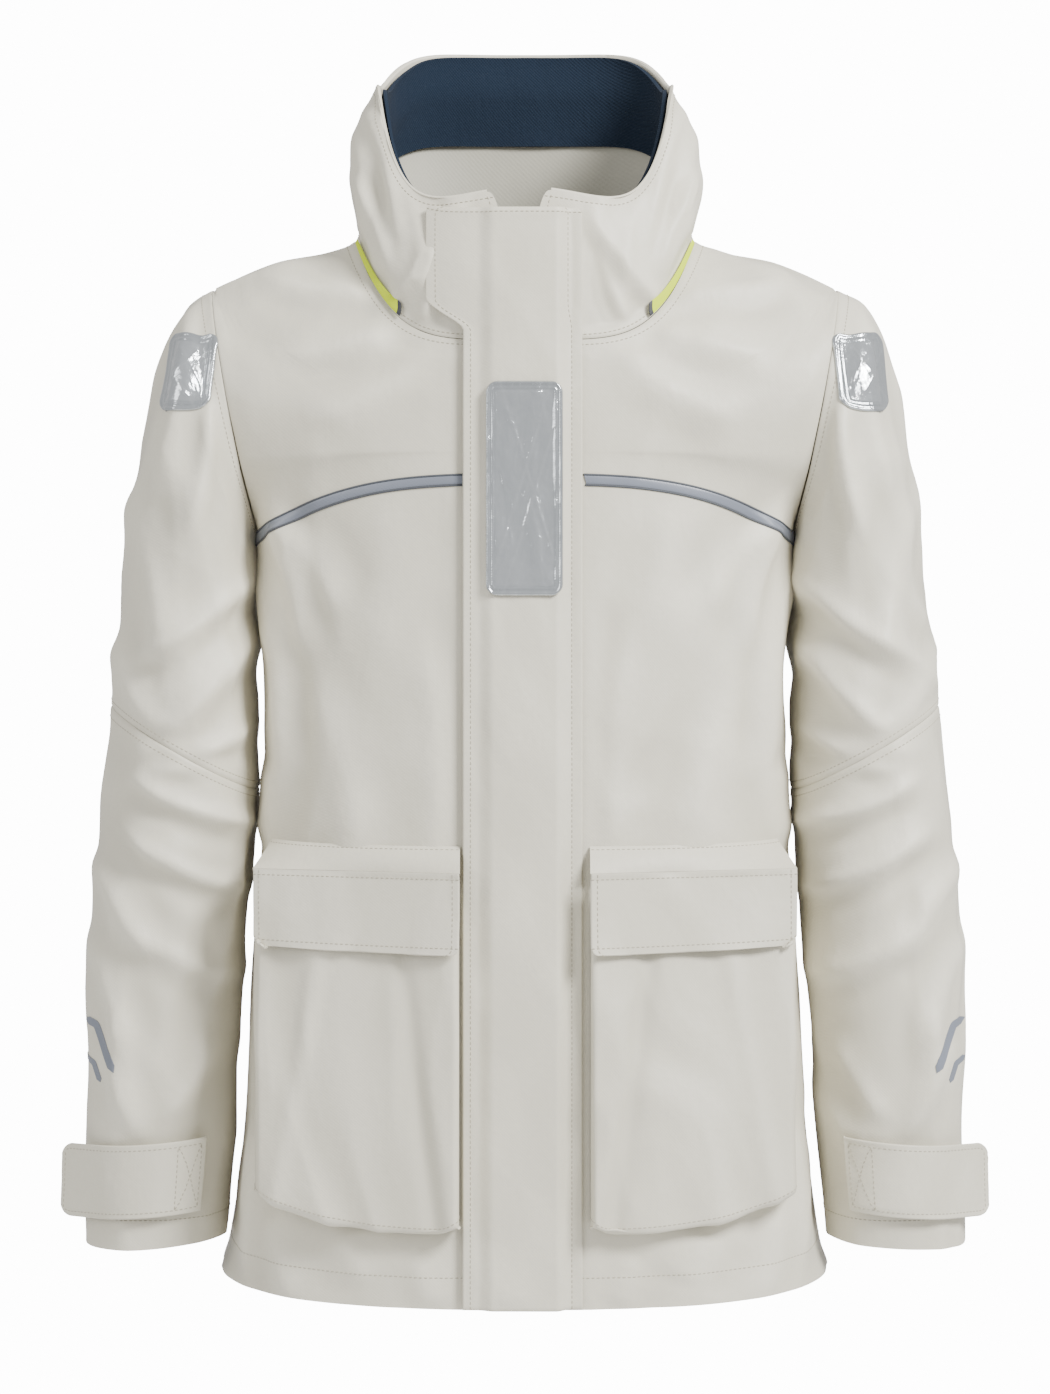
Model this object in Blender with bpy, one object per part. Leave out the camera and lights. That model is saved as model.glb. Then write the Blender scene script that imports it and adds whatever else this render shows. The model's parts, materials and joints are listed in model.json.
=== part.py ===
"""A foul weather jacket for sailing, as an assembly of its sewn pieces.

Metres, +Z up. The wearer faces -Y, and the wearer's left is +X. The origin is the middle of
the hanger loop inside the back of the neck, which is what the jacket hangs from.

The body and the collar are one surface of rings stacked from the hem to the collar's edge.
Each ring is a superellipse whose height runs from the front, over the side, to the back.
A sleeve is a stack of flat rings that starts as the armhole's own outline.
Every panel is a strip of one of these surfaces with a cloth's thickness.
"""

import bmesh
import bpy
import numpy as np

# Overall sizes
MID_Y = -0.080  # middle plane of the body, in front of the hanger loop
BACK_LENGTH = 0.820  # from the neck seam at the back down to the hem
HEM_HALF = 0.236
SEAT_HALF = 0.218
WAIST_HALF = 0.2015
CHEST_HALF = 0.204  # at the armpit
NECK_HALF = 0.130
COLLAR_HALF = 0.114  # at the collar's free edge, over the shoulders
COLLAR_RISE = 0.129  # free edge at the back, above the origin
FRONT_DEPTH = 0.150  # middle plane to the front edge at the hem
FRONT_LEAN = 0.0613  # how far the front edge leans back for each metre of height
BACK_DEPTH = 0.135

# Cloth and clearances
CLOTH = 0.0016
GAP = 0.0004
LAYER_GAP = 0.0010
LINING = 0.0010
LINING_GAP = 0.0042
LINING_CLEAR = 0.0050  # lining's edge inside the armhole
SQUARE = 2.6  # exponent of the rings: 2 is an ellipse, more is boxier
PIPING_R = 0.0011

# Armhole and sleeve
ARMPIT_Z = -0.253
SHOULDER_SLOPE = 0.186  # how far the armhole leans out for each metre of height
ARMHOLE_GAP = 0.0012
SLEEVE_GAP = 0.0045  # sleeve to body beside the waist
SLEEVE_WIDTH = 0.1225  # across the elbow, seen from the front
CUFF_WIDTH = 0.1095
ELBOW_DEPTH = 0.077  # half the sleeve's depth at the elbow
CUFF_DEPTH = 0.058
CUFF_CLEAR = 0.06 * (SLEEVE_WIDTH - CUFF_WIDTH)  # the inner cuff stays this much further inside
CUFF_Z = -0.789
ELBOW_Z = -0.445  # lowest point of the elbow seam, beside the body
ELBOW_RISE = 0.070  # the seam is this much higher on the outside of the sleeve
ELBOW_GAP = 0.0010
RAISE_CLEAR = 0.0015  # shoulder axis above the top of the armhole

# Front closing
FRONT_HALF = 0.0100  # from the middle to each front edge
TOOTH_HALF = 0.0032
ZIP_TOP_Z = -0.022
ZIP_BOTTOM_Z = -0.795
SLIDER_HALF = 0.0055
SLIDER_LENGTH = 0.016
PULL_LENGTH = 0.026
PULL_HALF = 0.0040
FLAP_SEWN_X = 0.0435
FLAP_FREE_X = -0.046
FLAP_COLLAR_X = -0.074
FLAP_STEP_Z = -0.099  # where the free edge starts to widen towards the collar
FLAP_STEP = 0.022
FLAP_TOP_Z = -0.009
FLAP_ROOM = 0.0085  # flap over the front edges, where it covers the zip
STRIP_HALF = 0.006
STRIP = 0.0008
FASTENED = LAYER_GAP * 3 + STRIP * 2  # a closed flap or tab over the cloth that it fastens to
HINGE_OUT = 0.0006  # each flap's hinge line in front of its face
FLAP_ROWS = 16

# Pockets
POCKET_IN_X = 0.0480
POCKET_OUT_X = 0.2030
POCKET_SLOPE = 0.260  # how the pocket's face turns back towards the side
POCKET_FACE = 0.0290  # face in front of the front edge line, at the middle of the body
POCKET_FLAP_TOP_Z = -0.497
POCKET_FLAP_DROP = 0.060
POCKET_MOUTH_DROP = 0.034
POCKET_BOTTOM_Z = -0.7635
POCKET_CORNER_RISE = 0.024
POCKET_BACK_GAP = 0.0032

# Cuff tab
TAB_TOP_Z = -0.706
TAB_HEIGHT = 0.057
TAB_TAIL = 0.045
TAB_START = np.radians(128)
TAB_LEAVE = np.radians(50)

# Ring stations from the hem to the collar's free edge. The back and front heights are where
# a ring crosses the middle; the sharpness says how near the side a ring climbs.
(HEM, _, _, _, _, RIB, ARMPIT, _, CAP, _, _, RIDGE, NECK, FOLD, EDGE) = range(15)
HEM_Z = -BACK_LENGTH
SIDE_X = [HEM_HALF, HEM_HALF - 0.0075, SEAT_HALF, SEAT_HALF - 0.006, WAIST_HALF, CHEST_HALF - 0.005,
          CHEST_HALF, CHEST_HALF + 0.045, CHEST_HALF + 0.073, CHEST_HALF + 0.066, CHEST_HALF + 0.035,
          CHEST_HALF - 0.010, NECK_HALF, NECK_HALF + 0.003, COLLAR_HALF]
SIDE_Z = [HEM_Z + 0.005, HEM_Z + 0.032, HEM_Z + 0.120, HEM_Z + 0.233, -0.455, -0.370, ARMPIT_Z, -0.195,
          -0.125, -0.080, -0.061, -0.041, -0.0235, 0.026, 0.094]
FRONT_Z = [HEM_Z, HEM_Z + 0.027, HEM_Z + 0.115, HEM_Z + 0.230, -0.455, -0.345, -0.208, -0.185,
           -0.165, -0.150, -0.138, -0.121, -0.105, -0.060, -0.005]
BACK_Z = [HEM_Z, HEM_Z + 0.027, HEM_Z + 0.115, HEM_Z + 0.230, -0.455, -0.340, -0.200, -0.165,
          -0.130, -0.100, -0.076, -0.038, -0.004, 0.062, COLLAR_RISE]
BACK_Y = [BACK_DEPTH, BACK_DEPTH - 0.002, BACK_DEPTH - 0.007, BACK_DEPTH - 0.016, BACK_DEPTH - 0.022,
          BACK_DEPTH - 0.018, BACK_DEPTH - 0.010, BACK_DEPTH - 0.008, BACK_DEPTH - 0.008,
          BACK_DEPTH - 0.010, BACK_DEPTH - 0.014, BACK_DEPTH - 0.026, 0.097, 0.097, 0.088]
SHARP = [2.5, 2.5, 2.5, 2.5, 2.5, 2.5, 2.5, 2.6, 2.7, 2.9, 3.1, 3.4, 3.6, 4.6, 5.4]


def smooth(stations, at):
    """The values between stations, on cubic curves whose slope at each is its neighbours' mean."""
    stations = np.asarray(stations, float)
    at = np.clip(np.asarray(at, float), 0, len(stations) - 1)
    i = np.minimum(at.astype(int), len(stations) - 2)
    t = at - i
    slope = np.gradient(stations)
    return (
        stations[i] * (1 + 2 * t) * (1 - t) ** 2
        + stations[i + 1] * t * t * (3 - 2 * t)
        + slope[i] * t * (1 - t) ** 2
        + slope[i + 1] * t * t * (t - 1)
    )


def ease(t):
    t = np.clip(t, 0, 1)
    return t * t * (3 - 2 * t)


def front_y(z):
    """The straight front edge leans back as it rises."""
    return MID_Y - FRONT_DEPTH + FRONT_LEAN * (z - HEM_Z)


def body(angle, level, out=0.0):
    """Points on the body: angle -90 degrees is the front, 0 the wearer's left, 90 the back."""
    angle, level = np.broadcast_arrays(np.asarray(angle, float), np.asarray(level, float))

    def bare(a, v):
        across, deep = np.cos(a), np.sin(a)
        mid_z = np.where(deep < 0, smooth(FRONT_Z, v), smooth(BACK_Z, v))
        reach = np.where(deep < 0, front_y(smooth(FRONT_Z, v)) - MID_Y, smooth(BACK_Y, v))
        climb = np.abs(across) ** smooth(SHARP, v)
        return np.stack(
            [
                smooth(SIDE_X, v) * np.sign(across) * np.abs(across) ** (2 / SQUARE),
                MID_Y + reach * np.abs(deep) ** (2 / SQUARE),
                mid_z + (smooth(SIDE_Z, v) - mid_z) * climb,
            ],
            -1,
        )

    points = bare(angle, level)
    if np.ndim(out) == 0 and out == 0:
        return points
    step = 0.004
    low = np.clip(level - step, 0, EDGE)
    high = np.clip(level + step, 0, EDGE)
    around = bare(angle + step, level) - bare(angle - step, level)
    normal = np.cross(around, bare(angle, high) - bare(angle, low))
    normal /= np.linalg.norm(normal, axis=-1, keepdims=True)
    return points + normal * np.asarray(out)[..., None]


def angle_at_x(x, level):
    """Angle from the side at which a ring is x from the middle."""
    share = np.clip(np.asarray(x) / smooth(SIDE_X, level), 0, 1)
    return np.arccos(share ** (SQUARE / 2))


def level_at_front(z):
    levels = np.linspace(HEM, EDGE, 600)
    return np.interp(z, smooth(FRONT_Z, levels), levels)


def armhole_x(z):
    """The armhole lies in a plane that leans out as it rises."""
    return CHEST_HALF + SHOULDER_SLOPE * (z - ARMPIT_Z)


def side_limit(level, back, clear):
    """Angle from the side where a panel ends: its side seam, armhole or shoulder seam."""
    level = np.asarray(level, float)
    depth = np.where(back, smooth(BACK_Y, level), MID_Y - front_y(smooth(FRONT_Z, level)))
    seam = np.arcsin((GAP / depth) ** (SQUARE / 2))
    angle = np.zeros(level.shape)
    mid_z = smooth(BACK_Z if back else FRONT_Z, level)
    for _ in range(40):
        z = mid_z + (smooth(SIDE_Z, level) - mid_z) * np.cos(angle) ** smooth(SHARP, level)
        cut = angle_at_x(armhole_x(z) - clear, level)
        angle = 0.5 * angle + 0.5 * np.where(level > ARMPIT, cut, 0)
    return np.maximum(seam, angle)


def material(name, colour, roughness=0.8, metallic=0.0):
    made = bpy.data.materials.get(name)
    if made is None:
        made = bpy.data.materials.new(name)
        made.use_nodes = True
        shader = made.node_tree.nodes["Principled BSDF"]
        shader.inputs["Base Color"].default_value = (*colour, 1)
        shader.inputs["Roughness"].default_value = roughness
        shader.inputs["Metallic"].default_value = metallic
    return made


SHELL_CLOTH = ("shell_cloth", (0.70, 0.68, 0.60), 0.75)
LINING_CLOTH = ("lining_cloth", (0.55, 0.54, 0.50), 0.85)
FLEECE = ("navy_fleece", (0.003, 0.024, 0.076), 0.95)
FLASH = ("flash_yellow", (0.72, 1.0, 0.01), 0.6)
FILM = ("silver_film", (0.56, 0.58, 0.60), 0.25)
REFLECTIVE = ("reflective_trim", (0.30, 0.32, 0.36), 0.4)
HOOKS = ("hook_and_loop", (0.50, 0.49, 0.45), 0.9)
PLASTIC = ("zip_plastic", (0.45, 0.44, 0.41), 0.45)
METAL = ("zip_metal", (0.55, 0.55, 0.56), 0.35, 1.0)
ELASTIC = ("cuff_elastic", (0.20, 0.20, 0.19), 0.8)


def make(name, points, faces, finish, origin=(0, 0, 0)):
    """One closed piece. Its faces are turned so that they point out."""
    points = np.asarray(points, float).reshape(-1, 3) - np.asarray(origin)
    mesh = bpy.data.meshes.new(name)
    mesh.from_pydata(points.tolist(), [], [tuple(map(int, face)) for face in faces])
    shape = bmesh.new()
    shape.from_mesh(mesh)
    bmesh.ops.recalc_face_normals(shape, faces=shape.faces)
    shape.to_mesh(mesh)
    shape.free()
    mesh.shade_smooth()
    mesh.set_sharp_from_angle(angle=np.radians(40))
    mesh.materials.append(material(*finish))
    piece = bpy.data.objects.new(name, mesh)
    piece.location = origin
    bpy.context.scene.collection.objects.link(piece)
    return piece


def skin(name, outer, inner, finish, wrap=False, origin=(0, 0, 0)):
    """A sheet between two grids of points. With wrap, its first side joins its last: a tube."""
    rows, columns = outer.shape[:2]
    points = np.concatenate([outer.reshape(-1, 3), inner.reshape(-1, 3)])
    inside = rows * columns

    def at(i, j):
        return (i % rows) * columns + j

    faces = []
    for i in range(rows if wrap else rows - 1):
        for j in range(columns - 1):
            a, b, c, d = at(i, j), at(i + 1, j), at(i + 1, j + 1), at(i, j + 1)
            faces.append((a, b, c, d))
            faces.append((d + inside, c + inside, b + inside, a + inside))
        a, b = at(i, 0), at(i + 1, 0)
        faces.append((b, a, a + inside, b + inside))
        a, b = at(i, columns - 1), at(i + 1, columns - 1)
        faces.append((a, b, b + inside, a + inside))
    if not wrap:
        for j in range(columns - 1):
            a, b = at(0, j), at(0, j + 1)
            faces.append((a, b, b + inside, a + inside))
            a, b = at(rows - 1, j), at(rows - 1, j + 1)
            faces.append((b, a, a + inside, b + inside))
    return make(name, points, faces, finish, origin)


def block(name, corners, finish, origin=(0, 0, 0)):
    """A solid with six sides from two rings of four corners."""
    faces = [(3, 2, 1, 0), (4, 5, 6, 7), (0, 1, 5, 4), (1, 2, 6, 5), (2, 3, 7, 6), (3, 0, 4, 7)]
    return make(name, corners, faces, finish, origin)


def tube(name, path, radius, finish, sides=6, flat=1.0):
    """A round or flattened cord along a path of points."""
    path = np.asarray(path)
    along = np.gradient(path, axis=0)
    along /= np.linalg.norm(along, axis=1, keepdims=True)
    up = np.cross(along, (0, 1, 0))
    up /= np.linalg.norm(up, axis=1, keepdims=True)
    out = np.cross(up, along)
    turn = np.arange(sides) * 2 * np.pi / sides
    rings = (
        path[:, None]
        + radius * np.cos(turn)[None, :, None] * up[:, None]
        + radius * flat * np.sin(turn)[None, :, None] * out[:, None]
    )
    count = len(path)
    faces = [
        (i * sides + k, i * sides + (k + 1) % sides, (i + 1) * sides + (k + 1) % sides, (i + 1) * sides + k)
        for i in range(count - 1)
        for k in range(sides)
    ]
    faces.append(tuple(reversed(range(sides))))
    faces.append(tuple((count - 1) * sides + k for k in range(sides)))
    return make_caps(name, rings.reshape(-1, 3), faces, finish)


def make_caps(name, points, faces, finish):
    """As make, for a piece whose end faces have more than four corners."""
    flat_faces = []
    for face in faces:
        if len(face) <= 4:
            flat_faces.append(face)
        else:
            flat_faces.extend((face[0], face[k], face[k + 1]) for k in range(1, len(face) - 1))
    return make(name, points, flat_faces, finish)


def mirrored(points, side):
    return np.asarray(points) * (side, 1, 1)


SIDES = (("left", 1), ("right", -1))


def grid(first, last, levels, columns):
    """Angles running from first to last for each level, as a grid, and the levels to match."""
    share = np.linspace(0, 1, columns)[:, None]
    angles = first[None] + (last - first)[None] * share
    return angles, np.broadcast_to(levels[None], angles.shape)


def rows_between(low, high, each=0.5):
    """Levels from low to high: the ends, and each half station that isn't close to one of them."""
    between = np.arange(np.ceil(low / each), np.floor(high / each) + 1) * each
    between = between[(between > low + 0.15) & (between < high - 0.15)]
    return np.concatenate([[low], between, [high]])


def front_sheet(name, side, low, high, edge_x, outer, inner, finish, clear=ARMHOLE_GAP, columns=11,
                each=0.5):
    """A front piece from its middle edge to the side seam, armhole or shoulder seam."""
    levels = rows_between(low, high, each)
    first = -angle_at_x(edge_x, levels)
    last = -side_limit(levels, False, clear)
    angles, grid_levels = grid(first, last, levels, columns)
    skin(
        f"{name}_{side[0]}",
        mirrored(body(angles, grid_levels, outer), side[1]),
        mirrored(body(angles, grid_levels, inner), side[1]),
        finish,
    )


def back_sheet(name, low, high, outer, inner, finish, clear=ARMHOLE_GAP, columns=17, each=0.5):
    """A back piece from seam to seam."""
    levels = rows_between(low, high, each)
    limit = side_limit(levels, True, clear)
    angles, grid_levels = grid(limit, np.pi - limit, levels, columns)
    skin(name, body(angles, grid_levels, outer), body(angles, grid_levels, inner), finish)


BELOW_PIPING = ARMPIT - 0.016
ABOVE_PIPING = ARMPIT + 0.10
NECK_LOW = NECK - 0.03
NECK_HIGH = NECK + 0.03


def body_panels():
    back = -CLOTH - LINING_GAP
    for side in SIDES:
        front_sheet("front_panel", side, HEM, BELOW_PIPING, FRONT_HALF, 0, -CLOTH, SHELL_CLOTH)
        front_sheet("yoke", side, ABOVE_PIPING, NECK_LOW, FRONT_HALF, 0, -CLOTH, SHELL_CLOTH)
        front_sheet("lining", side, HEM + 0.8, NECK_LOW, 0.030, back, back - LINING, LINING_CLOTH,
                    LINING_CLEAR, 9, 1)
        angles = -np.linspace(np.radians(89), side_limit(np.array([ARMPIT + 0.02]), False, 0.004)[0], 16)
        angles = angles[np.abs(angles) < angle_at_x(FLAP_SEWN_X + 0.004, ARMPIT)]
        path = body(angles, np.full(angles.shape, float(ARMPIT)), PIPING_R * 0.4)
        tube(f"chest_piping_{side[0]}", mirrored(path, side[1]), PIPING_R, REFLECTIVE)
    back_sheet("back_panel", HEM, ARMPIT - 0.002, 0, -CLOTH, SHELL_CLOTH)
    back_sheet("back_yoke", ARMPIT + 0.008, NECK_LOW, 0, -CLOTH, SHELL_CLOTH)
    back_sheet("lining_back", HEM + 0.8, NECK_LOW, back, back - LINING, LINING_CLOTH, LINING_CLEAR)
    facing = HEM + 0.05
    levels = np.linspace(facing, HEM + 0.70, 3)
    edge = angle_at_x(0.030, levels)
    angles, grid_levels = grid(-edge, np.pi + edge, levels, 33)
    skin("hem_facing", body(angles, grid_levels, back), body(angles, grid_levels, back - CLOTH), SHELL_CLOTH)


def collar():
    def band(name, low, high, edge_x, outer, inner, finish, columns=31, rows=6):
        levels = np.linspace(low, high, rows)
        edge = angle_at_x(edge_x, levels)
        angles, grid_levels = grid(-edge, np.pi + edge, levels, columns)
        skin(name, body(angles, grid_levels, outer), body(angles, grid_levels, inner), finish)

    room = CLOTH + 0.0075
    band("collar_shell", NECK_HIGH, EDGE, FRONT_HALF, 0, -CLOTH, SHELL_CLOTH)
    band("collar_lining", FOLD + 0.02, EDGE - 0.03, FRONT_HALF + 0.002, -room, -room - 0.0030, FLEECE)
    band("collar_facing", NECK_HIGH, FOLD - 0.02, FRONT_HALF + 0.002, -room - 0.001, -room - 0.0022,
         LINING_CLOTH, rows=4)
    angles = np.linspace(np.radians(20), np.radians(160), 15)
    path = body(angles, np.full(angles.shape, NECK + 0.75), -CLOTH - 0.0040)
    tube("hood_roll", path, 0.0055, FLASH, sides=6, flat=0.36)
    for name, side in SIDES:
        levels = np.array([NECK_HIGH + 0.02, NECK_HIGH + 0.20])
        share = np.linspace(np.radians(-14), np.radians(-50), 7)
        angles, grid_levels = grid(np.full(2, share[0]), np.full(2, share[-1]), levels, 7)
        lift = 2.5 * LAYER_GAP
        skin(f"collar_flash_{name}", mirrored(body(angles, grid_levels, lift + STRIP), side),
             mirrored(body(angles, grid_levels, lift), side), FLASH)


def hanger_loop():
    """A strap whose ends are sewn beside each other, so that a hook passes behind its middle."""
    share = np.linspace(-1, 1, 13)
    bow = np.cos(share * np.pi / 2)
    path = np.stack([0.030 * share, 0.0042 - 0.0042 * bow, -0.008 + 0.008 * bow], -1)
    tube("hanger_loop", path, 0.0035, SHELL_CLOTH, sides=8, flat=0.3)


FRONT_DOWN = np.array([0, -FRONT_LEAN, -1]) / np.hypot(1, FRONT_LEAN)
FRONT_OUT = np.array([0, -1, FRONT_LEAN]) / np.hypot(1, FRONT_LEAN)


def on_front(x, z, out):
    return np.array([x, front_y(z), z]) + FRONT_OUT * out


def front_block(name, x_low, x_high, z_low, z_high, out_low, out_high, finish):
    corners = [
        on_front(x, z, out)
        for out in (out_low, out_high)
        for x, z in ((x_low, z_low), (x_high, z_low), (x_high, z_high), (x_low, z_high))
    ]
    return block(name, corners, finish)


TOOTH_OUT = -0.0012
HALF_SPLIT = 0.0006  # half the gap between the zip's sides
TAPE = 0.0008
TAPE_SIDE = 0.006  # how far the tape runs behind the front edge
TEETH_BACK = 0.0003
TAPE_LOW_Z = ZIP_BOTTOM_Z - 0.004
BOX_HALF = 0.0045
BOX_HEIGHT = 0.0120
UNDERFLAP = 0.0012
UNDERFLAP_HALF = 0.024
SLIDER_GAP = 0.0006
PLATE = 0.0016
POST_R = 0.0011
POST_HEIGHT = 0.0034
EYE_R = 0.0017
PULL = 0.0014
TAPE_OUT = -CLOTH - LAYER_GAP


def zip_closing():
    for name, side in SIDES:
        inner, outer = sorted((side * HALF_SPLIT, side * TOOTH_HALF))
        front_block(f"zip_teeth_{name}", inner, outer, ZIP_BOTTOM_Z, ZIP_TOP_Z, TAPE_OUT + TEETH_BACK,
                    TOOTH_OUT, PLASTIC)
        inner, outer = sorted((side * HALF_SPLIT, side * (FRONT_HALF + TAPE_SIDE)))
        front_block(f"zip_tape_{name}", inner, outer, TAPE_LOW_Z, ZIP_TOP_Z + 0.008, TAPE_OUT - TAPE,
                    TAPE_OUT, SHELL_CLOTH)
    front_block("zip_box", -BOX_HALF, BOX_HALF, ZIP_BOTTOM_Z - BOX_HEIGHT, ZIP_BOTTOM_Z - HALF_SPLIT,
                TAPE_OUT + TEETH_BACK, GAP, PLASTIC)
    room = TAPE_OUT - TAPE - LAYER_GAP
    front_block("zip_underflap", -UNDERFLAP_HALF, UNDERFLAP_HALF, TAPE_LOW_Z, ZIP_TOP_Z - 0.040,
                room - UNDERFLAP, room, SHELL_CLOTH)
    slider()
    zip_pull()


def slider_frame():
    """The slider's middle at the top of its travel."""
    return on_front(0, ZIP_TOP_Z - SLIDER_LENGTH, 0)


def slider():
    """A plate over the teeth with a flange down each side of them, and a post for the pull."""
    base = slider_frame()
    half = SLIDER_LENGTH / 2
    flange_in = TOOTH_HALF + 0.0008
    low, plate = TAPE_OUT + SLIDER_GAP, TOOTH_OUT + SLIDER_GAP
    top = plate + PLATE
    outline = [(-SLIDER_HALF, low), (-flange_in, low), (-flange_in, plate), (flange_in, plate),
               (flange_in, low), (SLIDER_HALF, low), (SLIDER_HALF, top), (-SLIDER_HALF, top)]
    points = [base + (x, 0, 0) + FRONT_OUT * out + FRONT_DOWN * down
              for down in (-half, half) for x, out in outline]
    corners = len(outline)
    faces = [(k, (k + 1) % corners, (k + 1) % corners + corners, k + corners) for k in range(corners)
             if k != 6]
    for ring, turn in ((0, 1), (corners, -1)):
        for face in ((0, 1, 2, 7), (2, 3, 6, 7), (3, 4, 5, 6)):
            faces.append(tuple(k + ring for k in face)[::turn])
    rim = len(points)
    sides = 8
    for out in (top, top + POST_HEIGHT):
        for k in range(sides):
            turn = 2 * np.pi * (k + 0.5) / sides
            across = base + (POST_R * np.cos(turn), 0, 0)
            points.append(across + FRONT_DOWN * (POST_R * np.sin(turn)) + FRONT_OUT * out)
    corner_ids = [6, 7, 7 + corners, 6 + corners]
    # The plate's top face runs from its four corners to the post's foot.
    start = {0: corner_ids[3], 1: corner_ids[2], 2: corner_ids[1], 3: corner_ids[0]}
    for quarter in range(4):
        a, b = start[quarter], start[(quarter + 1) % 4]
        k = quarter * 2
        foot = [rim + (k + j) % sides for j in range(3)]
        faces.append((a, foot[0], foot[1]))
        faces.append((a, foot[1], b))
        faces.append((b, foot[1], foot[2]))
    for k in range(sides):
        faces.append((rim + k, rim + k + sides, rim + (k + 1) % sides + sides, rim + (k + 1) % sides))
    faces.extend((rim + sides, rim + sides + k + 1, rim + sides + k) for k in range(1, sides - 1))
    make("zip_slider", points, faces, METAL, slider_frame())


def zip_pull():
    """A flat pull with an eye round the slider's post."""
    base = slider_frame()
    low = TOOTH_OUT + PLATE + 2 * SLIDER_GAP
    sides = 16
    turns = 2 * np.pi * (np.arange(sides) + 0.5) / sides
    inner = np.stack([EYE_R * np.cos(turns), EYE_R * np.sin(turns)], -1)
    outer = np.stack([PULL_HALF * np.cos(turns), PULL_HALF * np.sin(turns)], -1)
    below = outer[:, 1] > 0
    outer[below, 1] += PULL_LENGTH - PULL_HALF
    outer[below, 0] *= 0.8
    rings = []
    for flat, out in ((outer, low), (inner, low), (inner, low + PULL), (outer, low + PULL)):
        rings.append([base + (x, 0, 0) + FRONT_DOWN * down + FRONT_OUT * out for x, down in flat])
    faces = []
    for ring in range(4):
        here, there = ring * sides, (ring + 1) % 4 * sides
        for k in range(sides):
            after = (k + 1) % sides
            faces.append((here + k, here + after, there + after, there + k))
    make("zip_pull", np.concatenate(rings), faces, METAL, base)


def front_strip_grid(x_low, x_high, z_low, z_high, columns, rows):
    """Angles and levels over the front between two heights and two places across."""
    z = np.linspace(z_low, z_high, rows)
    levels = level_at_front(z)
    across = np.linspace(0, 1, columns)[:, None]
    first, last = np.broadcast_to(x_low, z.shape)[None], np.broadcast_to(x_high, z.shape)[None]
    x = first * (1 - across) + last * across
    grid_levels = np.broadcast_to(levels[None], x.shape)
    return x, grid_levels


def on_body_front(x, levels, lift):
    """Points of the body's front at x, moved straight forward."""
    angle = -np.where(x >= 0, angle_at_x(np.abs(x), levels), np.pi - angle_at_x(np.abs(x), levels))
    return body(angle, levels) - np.stack([0 * lift, lift, 0 * lift], -1)


SEWN_LIFT = 0.0012


def flap_lift(x):
    """The storm flap lies close at its edges and stands off the zip between them."""
    over_zip = 1 - ease((np.abs(x) - 0.023) / 0.012)
    edge = np.where(x > 0, SEWN_LIFT, FASTENED)
    return edge + (FLAP_ROOM - edge) * over_zip


def flap_axis(z):
    """A point of the sewn edge's straight hinge line, just in front of the flap's face."""
    point = on_front(FLAP_SEWN_X, z, SEWN_LIFT + CLOTH + HINGE_OUT)
    return point


def storm_flap():
    z_low, z_high = HEM_Z + 0.001, FLAP_TOP_Z
    z = np.linspace(z_low, z_high, FLAP_ROWS)
    widen = ease((z - FLAP_STEP_Z) / FLAP_STEP)
    free = FLAP_FREE_X + (FLAP_COLLAR_X - FLAP_FREE_X) * widen
    x, levels = front_strip_grid(free, FLAP_SEWN_X - 0.0004, z_low, z_high, 11, FLAP_ROWS)
    lift = flap_lift(x)
    hinge = flap_axis(z_low)
    skin("storm_flap", on_body_front(x, levels, lift + CLOTH), on_body_front(x, levels, lift), SHELL_CLOTH,
         origin=hinge)
    x, levels = front_strip_grid(-0.029, 0.028, -0.294, -0.136, 5, 7)
    lift = np.full(x.shape, FLAP_ROOM + CLOTH + LAYER_GAP)
    skin("flap_patch", on_body_front(x, levels, lift + STRIP), on_body_front(x, levels, lift), FILM,
         origin=hinge)
    middle = FLAP_FREE_X + STRIP_HALF + 0.004
    for name, low, origin in (("storm_flap_hooks", LAYER_GAP, (0, 0, 0)),
                              ("storm_flap_loops", FASTENED - STRIP - LAYER_GAP, hinge)):
        x, levels = front_strip_grid(middle - STRIP_HALF, middle + STRIP_HALF, -0.78, -0.15, 3, 16)
        flat = np.full(x.shape, low)
        skin(name, on_body_front(x, levels, flat + STRIP), on_body_front(x, levels, flat), HOOKS,
             origin=origin)


def pocket_plane(x, z, out):
    """The pocket's face: straight across, turning back towards the side, fuller at the bottom."""
    fuller = 0.006 * (POCKET_FLAP_TOP_Z - z) / (POCKET_FLAP_TOP_Z - POCKET_BOTTOM_Z)
    y = front_y(z) - POCKET_FACE + POCKET_SLOPE * x - fuller
    return np.stack([x + 0 * z, y - out, z + 0 * x], -1)


def body_front_y(x, z):
    """How far forward the body's shell is at x and z, on its curve or between its panel's rows."""
    found = []
    for levels in (np.linspace(HEM, RIB, 400), rows_between(HEM, RIB)):
        points = body(-angle_at_x(x, levels), levels)
        found.append(np.interp(z, points[:, 2], points[:, 1]))
    return np.minimum(*found)


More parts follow.
